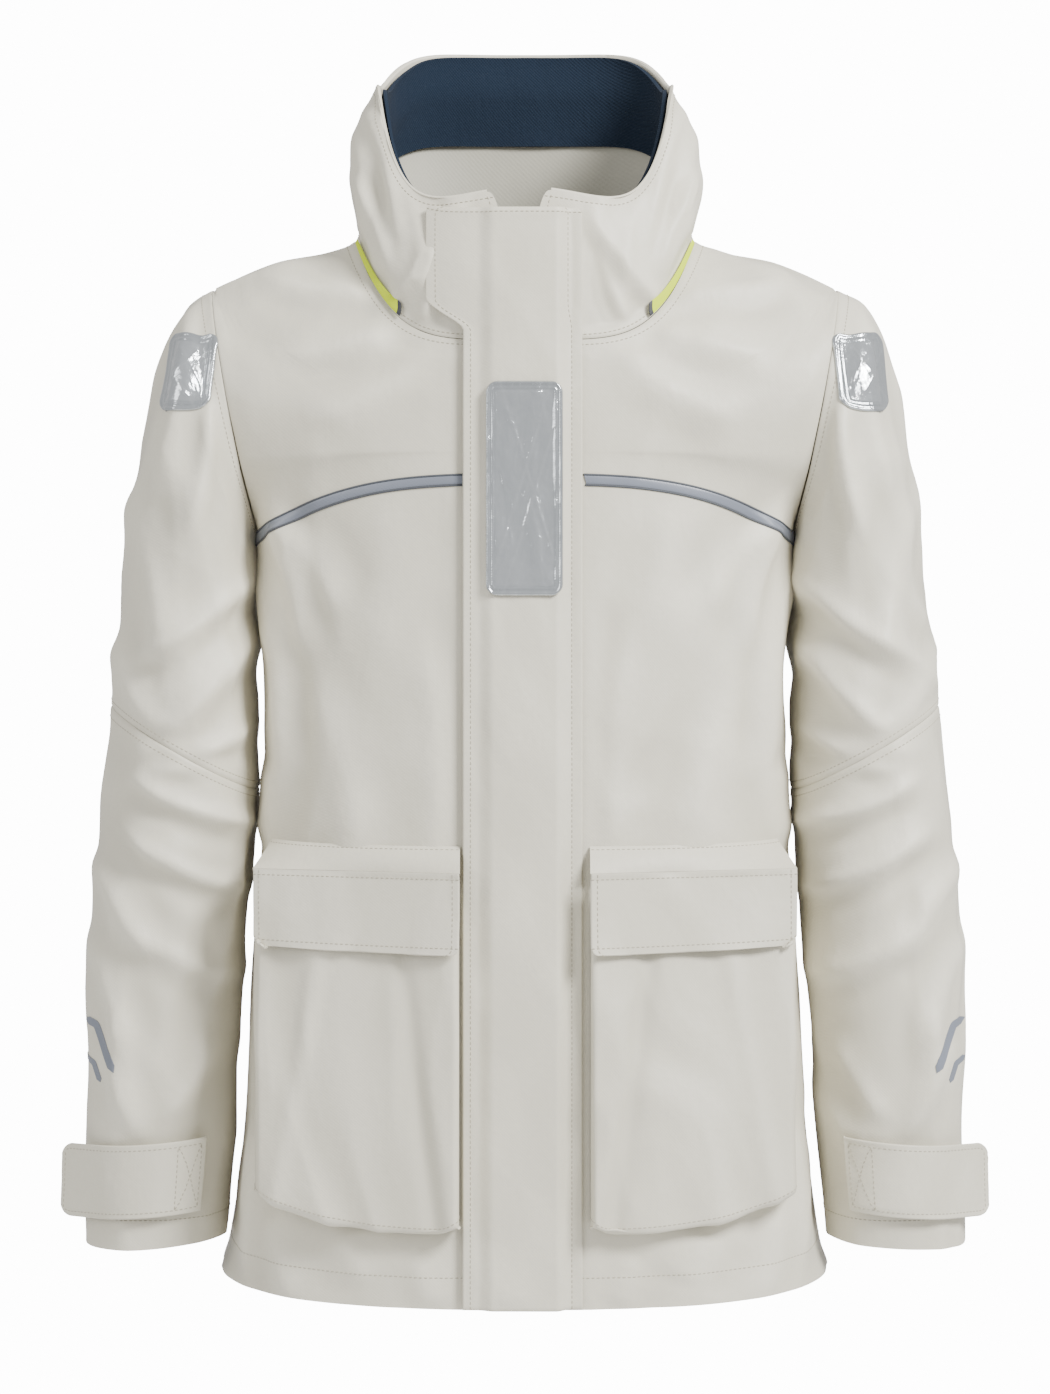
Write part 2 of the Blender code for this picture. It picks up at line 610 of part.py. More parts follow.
def pockets():
    count = 9
    x = np.linspace(POCKET_IN_X, POCKET_OUT_X, count)
    share = (x - POCKET_IN_X) / (POCKET_OUT_X - POCKET_IN_X)
    bottom = POCKET_BOTTOM_Z + POCKET_CORNER_RISE * share ** 3
    mouth = POCKET_FLAP_TOP_Z - POCKET_MOUTH_DROP
    top = POCKET_FLAP_TOP_Z - 0.0030
    wall = 0.0015
    for name, side in SIDES:
        pocket_bag(name, side, x, bottom, mouth, top, wall)
        header = POCKET_FLAP_TOP_Z + 0.018
        sewn_x = x - 0.012 * share
        sewn_y = np.array([body_front_y(a, header) for a in sewn_x]) - POCKET_BACK_GAP - CLOTH
        high = np.stack([sewn_x, sewn_y, np.full(count, header)], -1)
        low = pocket_plane(x, np.full(count, POCKET_FLAP_TOP_Z - 0.0005), -0.0012)
        outer = np.linspace(low, high, 4, axis=1)
        rise = high - low
        back = np.stack([0 * x, rise[:, 2], -rise[:, 1]], -1) / np.hypot(rise[:, 1:2], rise[:, 2:])
        inner = outer + CLOTH * back[:, None]
        skin(f"pocket_header_{name}", mirrored(outer, side), mirrored(inner, side), SHELL_CLOTH)
        hinge = pocket_hinge(side)
        z = np.linspace(0, 1, 5)[None] * -POCKET_FLAP_DROP * (1 - 0.08 * share[:, None] ** 2)
        z = POCKET_FLAP_TOP_Z + z
        grid_x = np.broadcast_to(x[:, None], z.shape)
        outer = pocket_plane(grid_x, z, FASTENED + CLOTH)
        inner = pocket_plane(grid_x, z, FASTENED)
        skin(f"pocket_flap_{name}", mirrored(outer, side), mirrored(inner, side), SHELL_CLOTH, origin=hinge)
        z_low = POCKET_FLAP_TOP_Z - POCKET_FLAP_DROP + 0.008
        pads = (("pocket_hooks", LAYER_GAP, (0, 0, 0)),
                ("pocket_loops", FASTENED - STRIP - LAYER_GAP, hinge))
        for pad, low, origin in pads:
            pad_x = np.linspace(0.095, 0.150, 3)[:, None]
            pad_z = np.array([[z_low, z_low + 0.014]])
            grid_x, grid_z = np.broadcast_arrays(pad_x, pad_z)
            skin(f"{pad}_{name}", mirrored(pocket_plane(grid_x, grid_z, low + STRIP), side),
                 mirrored(pocket_plane(grid_x, grid_z, low), side), HOOKS, origin=origin)


def pocket_hinge(side):
    """Middle of the pocket flap's straight hinge line, in front of its face."""
    x = np.array([(POCKET_IN_X + POCKET_OUT_X) / 2])
    point = pocket_plane(x, np.array([POCKET_FLAP_TOP_Z]), FASTENED + CLOTH + HINGE_OUT)[0]
    return mirrored(point, side)


def pocket_bag(name, side, x, bottom, mouth, top, wall):
    """A tray open at the back and the top: its two ends and face are one band, with a floor.

    The band's columns run up from the floor: the first and last stand at the body's shell and
    the others are the face. The outer and inner skins are two nested trays, joined at the rim.
    """
    rows = 6
    columns = len(x) + 2

    def tray(inset):
        xs = np.clip(x, POCKET_IN_X + inset, POCKET_OUT_X - inset)
        low = bottom + inset
        points = []
        for i in [0, *range(len(x)), len(x) - 1]:
            at_body = len(points) in (0, columns - 1)
            z = np.linspace(low[i], top if at_body else mouth, rows)
            if at_body:
                y = body_front_y(xs[i], z) - POCKET_BACK_GAP
                points.append(np.stack([np.full(rows, xs[i]), y, z], -1))
            else:
                points.append(pocket_plane(np.full(rows, xs[i]), z, -inset))
        floor = [(a, body_front_y(a, b) - POCKET_BACK_GAP, b) for a, b in zip(xs[1:-1], low[1:-1])]
        return np.concatenate([np.concatenate(points), floor])

    sheet = []
    for i in range(columns - 1):
        for j in range(rows - 1):
            a = i * rows + j
            sheet.append((a, a + rows, a + rows + 1, a + 1))
    back = [0, *range(columns * rows, columns * rows + len(x) - 2), (columns - 1) * rows]
    for i in range(len(x) - 1):
        sheet.append(((i + 1) * rows, back[i], back[i + 1], (i + 2) * rows))
    half = columns * rows + len(x) - 2
    edges = {(a, b) for face in sheet for a, b in zip(face, face[1:] + face[:1])}
    faces = sheet + [tuple(k + half for k in reversed(face)) for face in sheet]
    faces.extend((b, a, a + half, b + half) for a, b in sorted(edges) if (b, a) not in edges)
    make(f"pocket_bag_{name}", mirrored(np.concatenate([tray(0.0), tray(wall)]), side), faces, SHELL_CLOTH)


# Sleeve stations from the armhole to the cuff: height of the inner point, its distance from
# the body's side, and where the outer point is from it.
INNER_Z = [ARMPIT_Z, -0.262, -0.275, -0.295, -0.330, -0.385, -0.470, -0.600, -0.700, CUFF_Z]
BODY_GAP = [0, 0.0030, 0.0035, SLEEVE_GAP, SLEEVE_GAP, SLEEVE_GAP, SLEEVE_GAP, SLEEVE_GAP + 0.0010,
            SLEEVE_GAP - 0.0010, SLEEVE_GAP - 0.0015]
ACROSS = [0, SLEEVE_WIDTH - 0.066, SLEEVE_WIDTH - 0.046, SLEEVE_WIDTH - 0.030, SLEEVE_WIDTH - 0.018,
          SLEEVE_WIDTH - 0.008, SLEEVE_WIDTH, SLEEVE_WIDTH - 0.002, SLEEVE_WIDTH - 0.004, CUFF_WIDTH]
RISE = [0, 0.186, 0.160, 0.110, 0.065, 0.020, 0, 0, 0, -0.006]
HALF_DEPTH = [0, ELBOW_DEPTH + 0.012, ELBOW_DEPTH + 0.011, ELBOW_DEPTH + 0.009, ELBOW_DEPTH + 0.006,
              ELBOW_DEPTH + 0.003, ELBOW_DEPTH - 0.001, CUFF_DEPTH + 0.011, CUFF_DEPTH + 0.006, CUFF_DEPTH]
FORWARD = [0, 0, 0, -0.001, -0.002, -0.004, -0.007, -0.011, -0.013, -0.015]
LAST = len(INNER_Z) - 1
SLEEVE_SIDES = 16


def armhole():
    """The armhole's top and bottom points and its depth to the front and back at each share."""
    levels = np.linspace(ARMPIT + 0.0005, RIDGE, 400)
    rows = []
    for back in (False, True):
        clear = -ARMHOLE_GAP
        angle = side_limit(levels, back, clear)
        points = body(angle if back else -angle, levels)
        on_edge = points[:, 2] < armhole_top()[1] + 0.01
        rows.append(points[on_edge])
    return rows


def armhole_top():
    """Where the shoulder's ridge crosses the armhole's plane."""
    levels = np.linspace(CAP, RIDGE, 400)
    x, z = smooth(SIDE_X, levels), smooth(SIDE_Z, levels)
    beyond = x - armhole_x(z)
    i = int(np.argmax(beyond < 0))
    return np.array([x[i], z[i]])


def sleeve_points():
    """The sleeve's inner and outer points at each station, and the armhole's outline."""
    levels = np.linspace(HEM, ARMPIT, 300)
    side_z, side_x = smooth(SIDE_Z, levels), smooth(SIDE_X, levels)
    inner_x = np.interp(INNER_Z, side_z, side_x) + BODY_GAP
    inner = np.stack([inner_x, INNER_Z], -1)
    outer = inner + np.stack([ACROSS, RISE], -1)
    inner[0] = (CHEST_HALF + ARMHOLE_GAP, ARMPIT_Z)
    outer[0] = armhole_top() + (ARMHOLE_GAP, 0)
    return inner, outer


SLEEVE_IN, SLEEVE_OUT = sleeve_points()


def armhole_depth(share, back):
    """Depth of the armhole from the middle plane, at a share of the way down from its top."""
    top, bottom = SLEEVE_OUT[0], SLEEVE_IN[0]
    down = (bottom - top) / np.dot(bottom - top, bottom - top)
    points = armhole()[int(back)]
    place = (points[:, [0, 2]] - top) @ down
    order = np.argsort(place)
    depth = np.abs(points[:, 1] - MID_Y)
    depth = np.where((place < 0.002) | (place > 0.998), 0, depth)
    places = np.concatenate([[0], place[order], [1]])
    return np.interp(share, places, np.concatenate([[0], depth[order], [0]]))


def sleeve(turn, station, inset=0.0):
    """Points on a sleeve: turn 0 is the outer point, 90 degrees the front, 180 beside the body."""
    turn, station = np.broadcast_arrays(np.asarray(turn, float), np.asarray(station, float))
    inner = np.stack([smooth(SLEEVE_IN[:, k], station) for k in (0, 1)], -1)
    outer = np.stack([smooth(SLEEVE_OUT[:, k], station) for k in (0, 1)], -1)
    middle = (inner + outer) / 2
    arm = (outer - inner) / 2
    length = np.linalg.norm(arm, axis=-1)
    depth = smooth([HALF_DEPTH[1], *HALF_DEPTH[1:]], station)
    share = (1 - np.cos(turn)) / 2
    front = np.sin(turn) >= 0
    hole = np.where(front, armhole_depth(share, False), armhole_depth(share, True))
    keep = 1 - ease(station / 1.6)
    across = np.abs(np.sin(turn)) * depth * (1 - keep) + hole * keep
    shrink_across = (across - inset * np.abs(np.sin(turn))) * np.where(front, -1, 1)
    along = np.cos(turn)[..., None] * arm * (1 - inset / length)[..., None]
    y = MID_Y + smooth(FORWARD, station) + shrink_across
    return np.stack([middle[..., 0] + along[..., 0], y, middle[..., 1] + along[..., 1]], -1)


def elbow_seam_z(x):
    """The elbow seam lies in a plane that climbs towards the outside of the sleeve."""
    inner = np.interp(ELBOW_Z, SLEEVE_IN[::-1, 1], SLEEVE_IN[::-1, 0])
    return ELBOW_Z + ELBOW_RISE * (x - inner) / SLEEVE_WIDTH


def elbow_station(turns):
    """Station at which each line down the sleeve crosses the elbow seam."""
    stations = np.linspace(3, 8, 500)
    found = []
    for turn in turns:
        points = sleeve(turn, stations)
        height = points[:, 2] - elbow_seam_z(points[:, 0])
        found.append(np.interp(0, -height, stations))
    return np.array(found)


def sleeve_tube(name, first, last, turns, rows, inset, thick, finish, side, origin):
    stations = first[:, None] + (last - first)[:, None] * np.linspace(0, 1, rows)[None]
    grid_turns = np.broadcast_to(turns[:, None], stations.shape)
    skin(name, mirrored(sleeve(grid_turns, stations, inset), side),
         mirrored(sleeve(grid_turns, stations, inset + thick), side), finish, wrap=True, origin=origin)


def shoulder_axis(side):
    """The sleeve swings up about this point of the armhole's top."""
    top = SLEEVE_OUT[0]
    return mirrored((top[0], MID_Y, top[1] + RAISE_CLEAR), side)


def elbow_axis(side):
    """In front of the elbow and below its seam, so that the sleeve opens behind the elbow."""
    station = elbow_station([np.pi / 2])[0]
    front = sleeve(np.pi / 2, station)
    return mirrored((front[0], front[1] - 0.0020, ELBOW_Z - 0.0030), side)


def tab_axis(side):
    """The cuff tab peels about the line along which its inner end is sewn."""
    point = tab_points(np.array([0.0]), np.array([0.5]), FASTENED + CLOTH + HINGE_OUT)[0]
    return mirrored(point, side)


def station_at(z):
    stations = np.linspace(5, LAST, 300)
    middle = (smooth(SLEEVE_IN[:, 1], stations) + smooth(SLEEVE_OUT[:, 1], stations)) / 2
    return np.interp(-z, -middle, stations)


def tab_points(share, down, out):
    """The tab follows the cuff from its sewn end and leaves it on a straight tail."""
    arc = 0.70
    turn = TAB_START + (TAB_LEAVE - TAB_START) * np.clip(share / arc, 0, 1)
    z = TAB_TOP_Z - TAB_HEIGHT * down - 0.010 * share
    station = station_at(z)
    points = sleeve(turn, station, -out)
    step = 0.01
    ahead = sleeve(turn - step, station, -out) - points
    ahead[..., 2] = 0
    ahead /= np.linalg.norm(ahead, axis=-1, keepdims=True)
    points[..., 2] = z
    return points + ahead * (np.clip(share - arc, 0, 1) / (1 - arc) * TAB_TAIL)[..., None]


def sleeves():
    turns = np.arange(SLEEVE_SIDES) * 2 * np.pi / SLEEVE_SIDES
    elbow = elbow_station(turns)
    gap = ELBOW_GAP / 0.13 * 1.6
    zero = np.zeros(len(turns))
    for name, side in SIDES:
        shoulder, bend = shoulder_axis(side), elbow_axis(side)
        sleeve_tube(f"upper_sleeve_{name}", zero, elbow - gap, turns, 11, 0, CLOTH, SHELL_CLOTH, side,
                    shoulder)
        sleeve_tube(f"lower_sleeve_{name}", elbow + gap, zero + LAST, turns, 8, 0, CLOTH, SHELL_CLOTH, side,
                    bend)
        inner_cuff(name, side, turns, bend)
        patch_turns, patch_stations = np.radians(np.linspace(26, 84, 5)), np.linspace(0.95, 2.0, 5)
        turn, station = np.meshgrid(patch_turns, patch_stations, indexing="ij")
        skin(f"shoulder_patch_{name}", mirrored(sleeve(turn, station, -LAYER_GAP - 0.0014), side),
             mirrored(sleeve(turn, station, -LAYER_GAP), side), FILM, origin=shoulder)
        cuff_tab(name, side, bend)


def inner_cuff(name, side, turns, origin):
    """A gathered inner cuff that narrows from the sleeve's wall to the wrist."""
    first, last = 8.15, 8.85
    stations = np.broadcast_to(np.linspace(first, last, 4)[None], (len(turns), 4))
    grid_turns = np.broadcast_to(turns[:, None], stations.shape)
    narrow = CLOTH + LAYER_GAP + CUFF_CLEAR + 0.014 * ease((stations - first) / (last - first))
    outer = sleeve(grid_turns, stations, 0.0)
    centre = outer.mean(0, keepdims=True)
    reach = np.linalg.norm((outer - centre), axis=-1)

    def ring(inset):
        return centre + (outer - centre) * (1 - inset / reach)[..., None]

    skin(f"inner_cuff_{name}", mirrored(ring(narrow), side), mirrored(ring(narrow + 0.0014), side), ELASTIC,
         wrap=True, origin=origin)


def cuff_tab(name, side, bend):
    axis = tab_axis(side)
    share, down = np.meshgrid(np.linspace(0, 1, 13), np.linspace(0, 1, 4), indexing="ij")
    skin(f"cuff_tab_{name}", mirrored(tab_points(share, down, FASTENED + CLOTH), side),
         mirrored(tab_points(share, down, FASTENED), side), SHELL_CLOTH, origin=axis)
    share, down = np.meshgrid(np.linspace(0.34, 0.62, 5), np.linspace(0.18, 0.82, 3), indexing="ij")
    for pad, low, origin in (("cuff_hooks", LAYER_GAP, bend),
                             ("cuff_loops", FASTENED - STRIP - LAYER_GAP, axis)):
        skin(f"{pad}_{name}", mirrored(tab_points(share, down, low + STRIP), side),
             mirrored(tab_points(share, down, low), side), HOOKS, origin=origin)


def main():
    for old in list(bpy.data.objects):
        bpy.data.objects.remove(old, do_unlink=True)
    body_panels()
    collar()
    hanger_loop()
    zip_closing()
    storm_flap()
    pockets()
    sleeves()


main()
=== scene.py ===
"""The looks of a foul weather jacket, sewn round its CAD frame.

The wearer faces -Y and the wearer's left is +X. The body and collar are one surface of rings,
and each sleeve is a stack of rings, as in the frame. Panels are strips of those surfaces, with
creases laid over them, and seams, stitches, bindings and pads are worked out along lines on them.
"""

import json

import bmesh
import bpy
import numpy as np
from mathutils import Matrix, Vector


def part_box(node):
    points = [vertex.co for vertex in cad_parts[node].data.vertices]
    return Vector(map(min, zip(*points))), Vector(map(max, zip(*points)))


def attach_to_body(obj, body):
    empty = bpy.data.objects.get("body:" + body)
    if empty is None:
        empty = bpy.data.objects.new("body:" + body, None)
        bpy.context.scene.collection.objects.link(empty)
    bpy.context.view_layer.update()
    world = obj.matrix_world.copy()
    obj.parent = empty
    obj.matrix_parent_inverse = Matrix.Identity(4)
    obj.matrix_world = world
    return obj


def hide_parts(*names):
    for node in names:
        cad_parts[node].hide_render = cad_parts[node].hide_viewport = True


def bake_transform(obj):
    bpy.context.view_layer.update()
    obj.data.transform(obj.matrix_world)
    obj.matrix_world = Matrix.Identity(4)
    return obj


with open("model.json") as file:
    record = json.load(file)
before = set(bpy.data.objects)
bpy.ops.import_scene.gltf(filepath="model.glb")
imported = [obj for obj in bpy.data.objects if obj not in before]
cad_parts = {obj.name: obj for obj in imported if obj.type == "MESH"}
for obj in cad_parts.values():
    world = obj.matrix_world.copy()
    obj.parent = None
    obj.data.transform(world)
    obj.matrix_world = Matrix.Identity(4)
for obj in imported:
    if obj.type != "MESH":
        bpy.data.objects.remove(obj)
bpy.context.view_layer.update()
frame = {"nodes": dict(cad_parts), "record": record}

# ---------------------------------------------------------------- sizes from the frame


def low(node):
    return np.array(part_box(node)[0])


def high(node):
    return np.array(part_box(node)[1])


HEM_Z = low("front_panel_left")[2]
COLLAR_TOP = high("collar_shell")[2]
CLOTH = 0.0014
FLAP_SEWN_X = high("storm_flap")[0]
FLAP_FREE_X = -0.046
FLAP_COLLAR_X = low("storm_flap")[0]
FLAP_TOP_Z = high("storm_flap")[2] - 0.003
POCKET_IN_X = low("pocket_flap_left")[0]
POCKET_OUT_X = high("pocket_flap_left")[0]
POCKET_TOP_Z = high("pocket_flap_left")[2]
POCKET_FLAP_LOW_Z = low("pocket_flap_left")[2]
POCKET_LOW_Z = low("pocket_bag_left")[2]
CUFF_Z = low("lower_sleeve_left")[2]

MID_Y = -0.080
FRONT_DEPTH = 0.150
FRONT_LEAN = 0.0613
BACK_DEPTH = 0.135
SQUARE = 2.6
CHEST = 0.204
NECK_HALF = 0.130
SEAT = 0.218
ARMPIT_Z = -0.253
SHOULDER_SLOPE = 0.186
SLEEVE_GAP = 0.0045
SLEEVE_WIDTH = 0.1225
CUFF_WIDTH = 0.1095
ELBOW_DEPTH = 0.077
CUFF_DEPTH = 0.058
ELBOW_Z = -0.445
ELBOW_RISE = 0.070

# ---------------------------------------------------------------- the garment's surfaces

# Stations of the tables below, from the hem up: some have a name because a panel starts or ends there.
HEM, RIB, ARMPIT, CAP, RIDGE, NECK, FOLD, EDGE = 0, 5, 6, 8, 11, 12, 13, 14
SIDE_X = [0.236, 0.2285, SEAT, SEAT - 0.006, 0.2015, CHEST - 0.005, CHEST, CHEST + 0.045, CHEST + 0.073,
          CHEST + 0.066, CHEST + 0.035, CHEST - 0.010, NECK_HALF, NECK_HALF + 0.003, 0.114]
SIDE_Z = [HEM_Z + 0.005, HEM_Z + 0.032, HEM_Z + 0.120, HEM_Z + 0.233, -0.455, -0.370, ARMPIT_Z, -0.195,
          -0.125, -0.080, -0.061, -0.041, -0.0235, 0.026, 0.094]
FRONT_Z = [HEM_Z, HEM_Z + 0.027, HEM_Z + 0.115, HEM_Z + 0.230, -0.455, -0.345, -0.208, -0.185,
           -0.165, -0.150, -0.138, -0.121, -0.105, -0.060, -0.005]
BACK_Z = [HEM_Z, HEM_Z + 0.027, HEM_Z + 0.115, HEM_Z + 0.230, -0.455, -0.340, -0.200, -0.165,
          -0.130, -0.100, -0.076, -0.038, -0.004, 0.062, COLLAR_TOP]
BACK_Y = [BACK_DEPTH - d for d in (0, 0.002, 0.007, 0.016, 0.022, 0.018, 0.010, 0.008, 0.008, 0.010, 0.014,
                                   0.026, 0.038, 0.038, 0.047)]
SHARP = [2.5, 2.5, 2.5, 2.5, 2.5, 2.5, 2.5, 2.6, 2.7, 2.9, 3.1, 3.4, 3.6, 4.6, 5.4]


def smooth(stations, at):
    """Cubic curves between stations, whose slope at each is the mean of its neighbours'."""
    stations = np.asarray(stations, float)
    at = np.clip(np.asarray(at, float), 0, len(stations) - 1)
    i = np.minimum(at.astype(int), len(stations) - 2)
    t = at - i
    slope = np.gradient(stations)
    return (stations[i] * (1 + 2 * t) * (1 - t) ** 2 + stations[i + 1] * t * t * (3 - 2 * t)
            + slope[i] * t * (1 - t) ** 2 + slope[i + 1] * t * t * (t - 1))


def ease(t):
    """Zero below 0, one above 1, and a smooth step between."""
    t = np.clip(t, 0, 1)
    return t * t * (3 - 2 * t)


def hump(t):
    """One at 0, falling on a bell curve."""
    return np.exp(-np.square(t))


def round_off(distance, radius):
    """How deep a quarter circle lies at a distance from its edge: one at 0, none from the radius on."""
    return 1 - np.sqrt(np.clip(1 - (1 - np.clip(distance / radius, 0, 1)) ** 2, 0, 1))


def front_y(z):
    return MID_Y - FRONT_DEPTH + FRONT_LEAN * (z - HEM_Z)


def body(angle, level):
    """A superellipse ring at each level: angle -90 degrees is the front, 0 the left side, 90 the
    back; its height runs from the front's or back's to the side's with the cosine's power."""
    a, v = np.broadcast_arrays(np.asarray(angle, float), np.asarray(level, float))
    across, deep = np.cos(a), np.sin(a)
    front = smooth(FRONT_Z, v)
    mid_z = np.where(deep < 0, front, smooth(BACK_Z, v))
    reach = np.where(deep < 0, front_y(front) - MID_Y, smooth(BACK_Y, v))
    climb = np.abs(across) ** smooth(SHARP, v)
    return np.stack([smooth(SIDE_X, v) * np.sign(across) * np.abs(across) ** (2 / SQUARE),
                     MID_Y + reach * np.abs(deep) ** (2 / SQUARE),
                     mid_z + (smooth(SIDE_Z, v) - mid_z) * climb], -1)


def angle_at_x(x, level):
    return np.arccos(np.clip(np.asarray(x) / smooth(SIDE_X, level), 0, 1) ** (SQUARE / 2))


def level_at_front(z):
    levels = np.linspace(HEM, EDGE, 1500)
    return np.interp(z, smooth(FRONT_Z, levels), levels)


def armhole_x(z):
    return CHEST + SHOULDER_SLOPE * (z - ARMPIT_Z)


def side_limit(level, back, clear):
    """Angle from the side where a panel ends: at the side or shoulder seam, or at the armhole's plane."""
    level = np.asarray(level, float)
    angle = np.zeros(level.shape)
    mid_z = smooth(BACK_Z if back else FRONT_Z, level)
    for _ in range(60):
        z = mid_z + (smooth(SIDE_Z, level) - mid_z) * np.cos(angle) ** smooth(SHARP, level)
        angle = 0.5 * angle + 0.5 * np.where(level > ARMPIT, angle_at_x(armhole_x(z) - clear, level), 0)
    return angle


INNER_Z = [ARMPIT_Z, -0.262, -0.275, -0.295, -0.330, -0.385, -0.470, -0.600, -0.700, CUFF_Z + 0.006]
BODY_GAP = [0, 0.0030, 0.0035, SLEEVE_GAP, SLEEVE_GAP, SLEEVE_GAP, SLEEVE_GAP, 0.0055, 0.0035, 0.0030]
ACROSS = [0, *(SLEEVE_WIDTH - d for d in (0.066, 0.046, 0.030, 0.018, 0.008, 0, 0.002, 0.004)), CUFF_WIDTH]
RISE = [0, 0.186, 0.160, 0.110, 0.065, 0.020, 0, 0, 0, -0.006]
HALF_DEPTH = [*(ELBOW_DEPTH + d for d in (0.012, 0.012, 0.011, 0.009, 0.006, 0.003, -0.001)),
              CUFF_DEPTH + 0.011, CUFF_DEPTH + 0.006, CUFF_DEPTH]
FORWARD = [0, 0, 0, -0.001, -0.002, -0.004, -0.007, -0.011, -0.013, -0.015]
CUFF = len(INNER_Z) - 1


def armhole_top():
    levels = np.linspace(CAP, RIDGE, 900)
    x, z = smooth(SIDE_X, levels), smooth(SIDE_Z, levels)
    i = int(np.argmax(x < armhole_x(z)))
    return np.array([x[i], z[i]])


def sleeve_ends():
    """The points of each sleeve ring beside the body and on the outside, seen from the front."""
    levels = np.linspace(HEM, ARMPIT, 600)
    side_x = np.interp(INNER_Z, smooth(SIDE_Z, levels), smooth(SIDE_X, levels))
    inner = np.stack([side_x + BODY_GAP, INNER_Z], -1)
    outer = inner + np.stack([ACROSS, RISE], -1)
    inner[0] = (CHEST, ARMPIT_Z)
    outer[0] = armhole_top()
    return inner, outer


SLEEVE_IN, SLEEVE_OUT = sleeve_ends()


def armhole_depths():
    """The armhole's depth from the middle plane, front and back, from its top down."""
    levels = np.linspace(ARMPIT + 0.0002, RIDGE, 1200)
    top, bottom = SLEEVE_OUT[0], SLEEVE_IN[0]
    down = (bottom - top) / np.dot(bottom - top, bottom - top)
    found = []
    for back in (False, True):
        angle = side_limit(levels, back, 0)
        points = body(angle if back else -angle, levels)
        points = points[angle > 1e-4]
        place = (points[:, [0, 2]] - top) @ down
        order = np.argsort(place)
        depth = np.abs(points[:, 1] - MID_Y)
        found.append((np.concatenate([[0], place[order], [1]]), np.concatenate([[0], depth[order], [0]])))
    return found


HOLES = armhole_depths()


def sleeve(turn, station):
    """A ring from its inner to its outer point, with its own depth; the first is the armhole's
    outline, which fades out down the cap. Turn 0 is outside, 90 degrees the front."""
    turn, station = np.broadcast_arrays(np.asarray(turn, float), np.asarray(station, float))
    inner = np.stack([smooth(SLEEVE_IN[:, k], station) for k in (0, 1)], -1)
    outer = np.stack([smooth(SLEEVE_OUT[:, k], station) for k in (0, 1)], -1)
    front = np.sin(turn) >= 0
    share = (1 - np.cos(turn)) / 2
    hole = np.where(front, np.interp(share, *HOLES[0]), np.interp(share, *HOLES[1]))
    keep = 1 - ease(station / 1.6)
    deep = np.abs(np.sin(turn)) * smooth(HALF_DEPTH, station) * (1 - keep) + hole * keep
    at = (inner + outer) / 2 + (outer - inner) / 2 * np.cos(turn)[..., None]
    y = MID_Y + smooth(FORWARD, station) + deep * np.where(front, -1, 1)
    return np.stack([at[..., 0], y, at[..., 1]], -1)


def elbow_seam_z(x):
    inner = np.interp(ELBOW_Z, SLEEVE_IN[::-1, 1], SLEEVE_IN[::-1, 0])
    return ELBOW_Z + ELBOW_RISE * (x - inner) / SLEEVE_WIDTH


def elbow_stations(turns):
    """Where each line down the sleeve crosses the slanting plane of the elbow seam."""
    stations = np.linspace(3, 8, 800)
    points = sleeve(turns[:, None], stations[None])
    above = points[..., 2] - elbow_seam_z(points[..., 0])
    return np.array([np.interp(0, -row, stations) for row in above])


# ---------------------------------------------------------------- making meshes


SHARP_EDGE = np.radians(50)
STITCH = 0.0025
STITCH_GAP = 0.0013
STITCH_RADIUS = 0.00042


def mirrored(points, side):
    return np.asarray(points) * (side, 1, 1)


def normals_of(points, wrap=False):
    """Across each grid point, the cross product of the grid's two directions, made unit length."""
    if wrap:
        du = np.roll(points, -1, 0) - np.roll(points, 1, 0)
    else:
        du = np.gradient(points, axis=0)
    dv = np.gradient(points, axis=1)
    n = np.cross(du, dv)
    return n / np.maximum(np.linalg.norm(n, axis=-1, keepdims=True), 1e-12)


def spaced(count, at_ends=0.7):
    """From 0 to 1, closer together near both ends, where seams and bindings need it."""
    t = np.linspace(0, 1, count)
    return t * (1 - at_ends) + (0.5 - 0.5 * np.cos(np.pi * t)) * at_ends


def make(name, points, quads, finish, shade=None):
    """A smooth-shaded object from points and quads; shade is its painted light and shade, one value a point.
    """
    mesh = bpy.data.meshes.new(name)
    points = np.ascontiguousarray(points, np.float32).reshape(-1, 3)
    quads = np.ascontiguousarray(quads, np.int32)
    mesh.vertices.add(len(points))
    mesh.vertices.foreach_set("co", points.ravel())
    mesh.loops.add(quads.size)
    mesh.loops.foreach_set("vertex_index", quads.ravel())
    mesh.polygons.add(len(quads))
    mesh.polygons.foreach_set("loop_start", np.arange(0, quads.size, quads.shape[1], dtype=np.int32))
    mesh.update(calc_edges=True)
    mesh.validate()
    mesh.shade_smooth()
    mesh.set_sharp_from_angle(angle=SHARP_EDGE)
    if shade is not None:
        # The crease attribute carries the painted light and shade that the materials mix into the colour.
        field = mesh.attributes.new("crease", "FLOAT", "POINT")
        field.data.foreach_set("value", np.ascontiguousarray(shade, np.float32).ravel())
    mesh.materials.append(finish)
    piece = bpy.data.objects.new(name, mesh)
    bpy.context.scene.collection.objects.link(piece)
    return piece


def grid_quads(rows, columns, wrap=False):
    i = np.arange(rows if wrap else rows - 1)[:, None]
    j = np.arange(columns - 1)[None]
    a, b = i * columns + j, (i + 1) % rows * columns + j
    return np.stack([a, b, b + 1, a + 1], -1).reshape(-1, 4)


def read_grid(grid, i, j, wrap=False):
    """A grid's values between its points, from the four round each place."""
    i, j = np.broadcast_arrays(i, j)
    rows, columns = grid.shape[:2]
    a = np.floor(i).astype(int)
    if not wrap:
        a = a.clip(0, rows - 2)
    b = np.floor(j).astype(int).clip(0, columns - 2)
    s, t = (i - a)[..., None], (j - b)[..., None]
    a, c = a % rows, (a + 1) % rows
    return ((grid[a, b] * (1 - s) + grid[c, b] * s) * (1 - t)
            + (grid[a, b + 1] * (1 - s) + grid[c, b + 1] * s) * t)


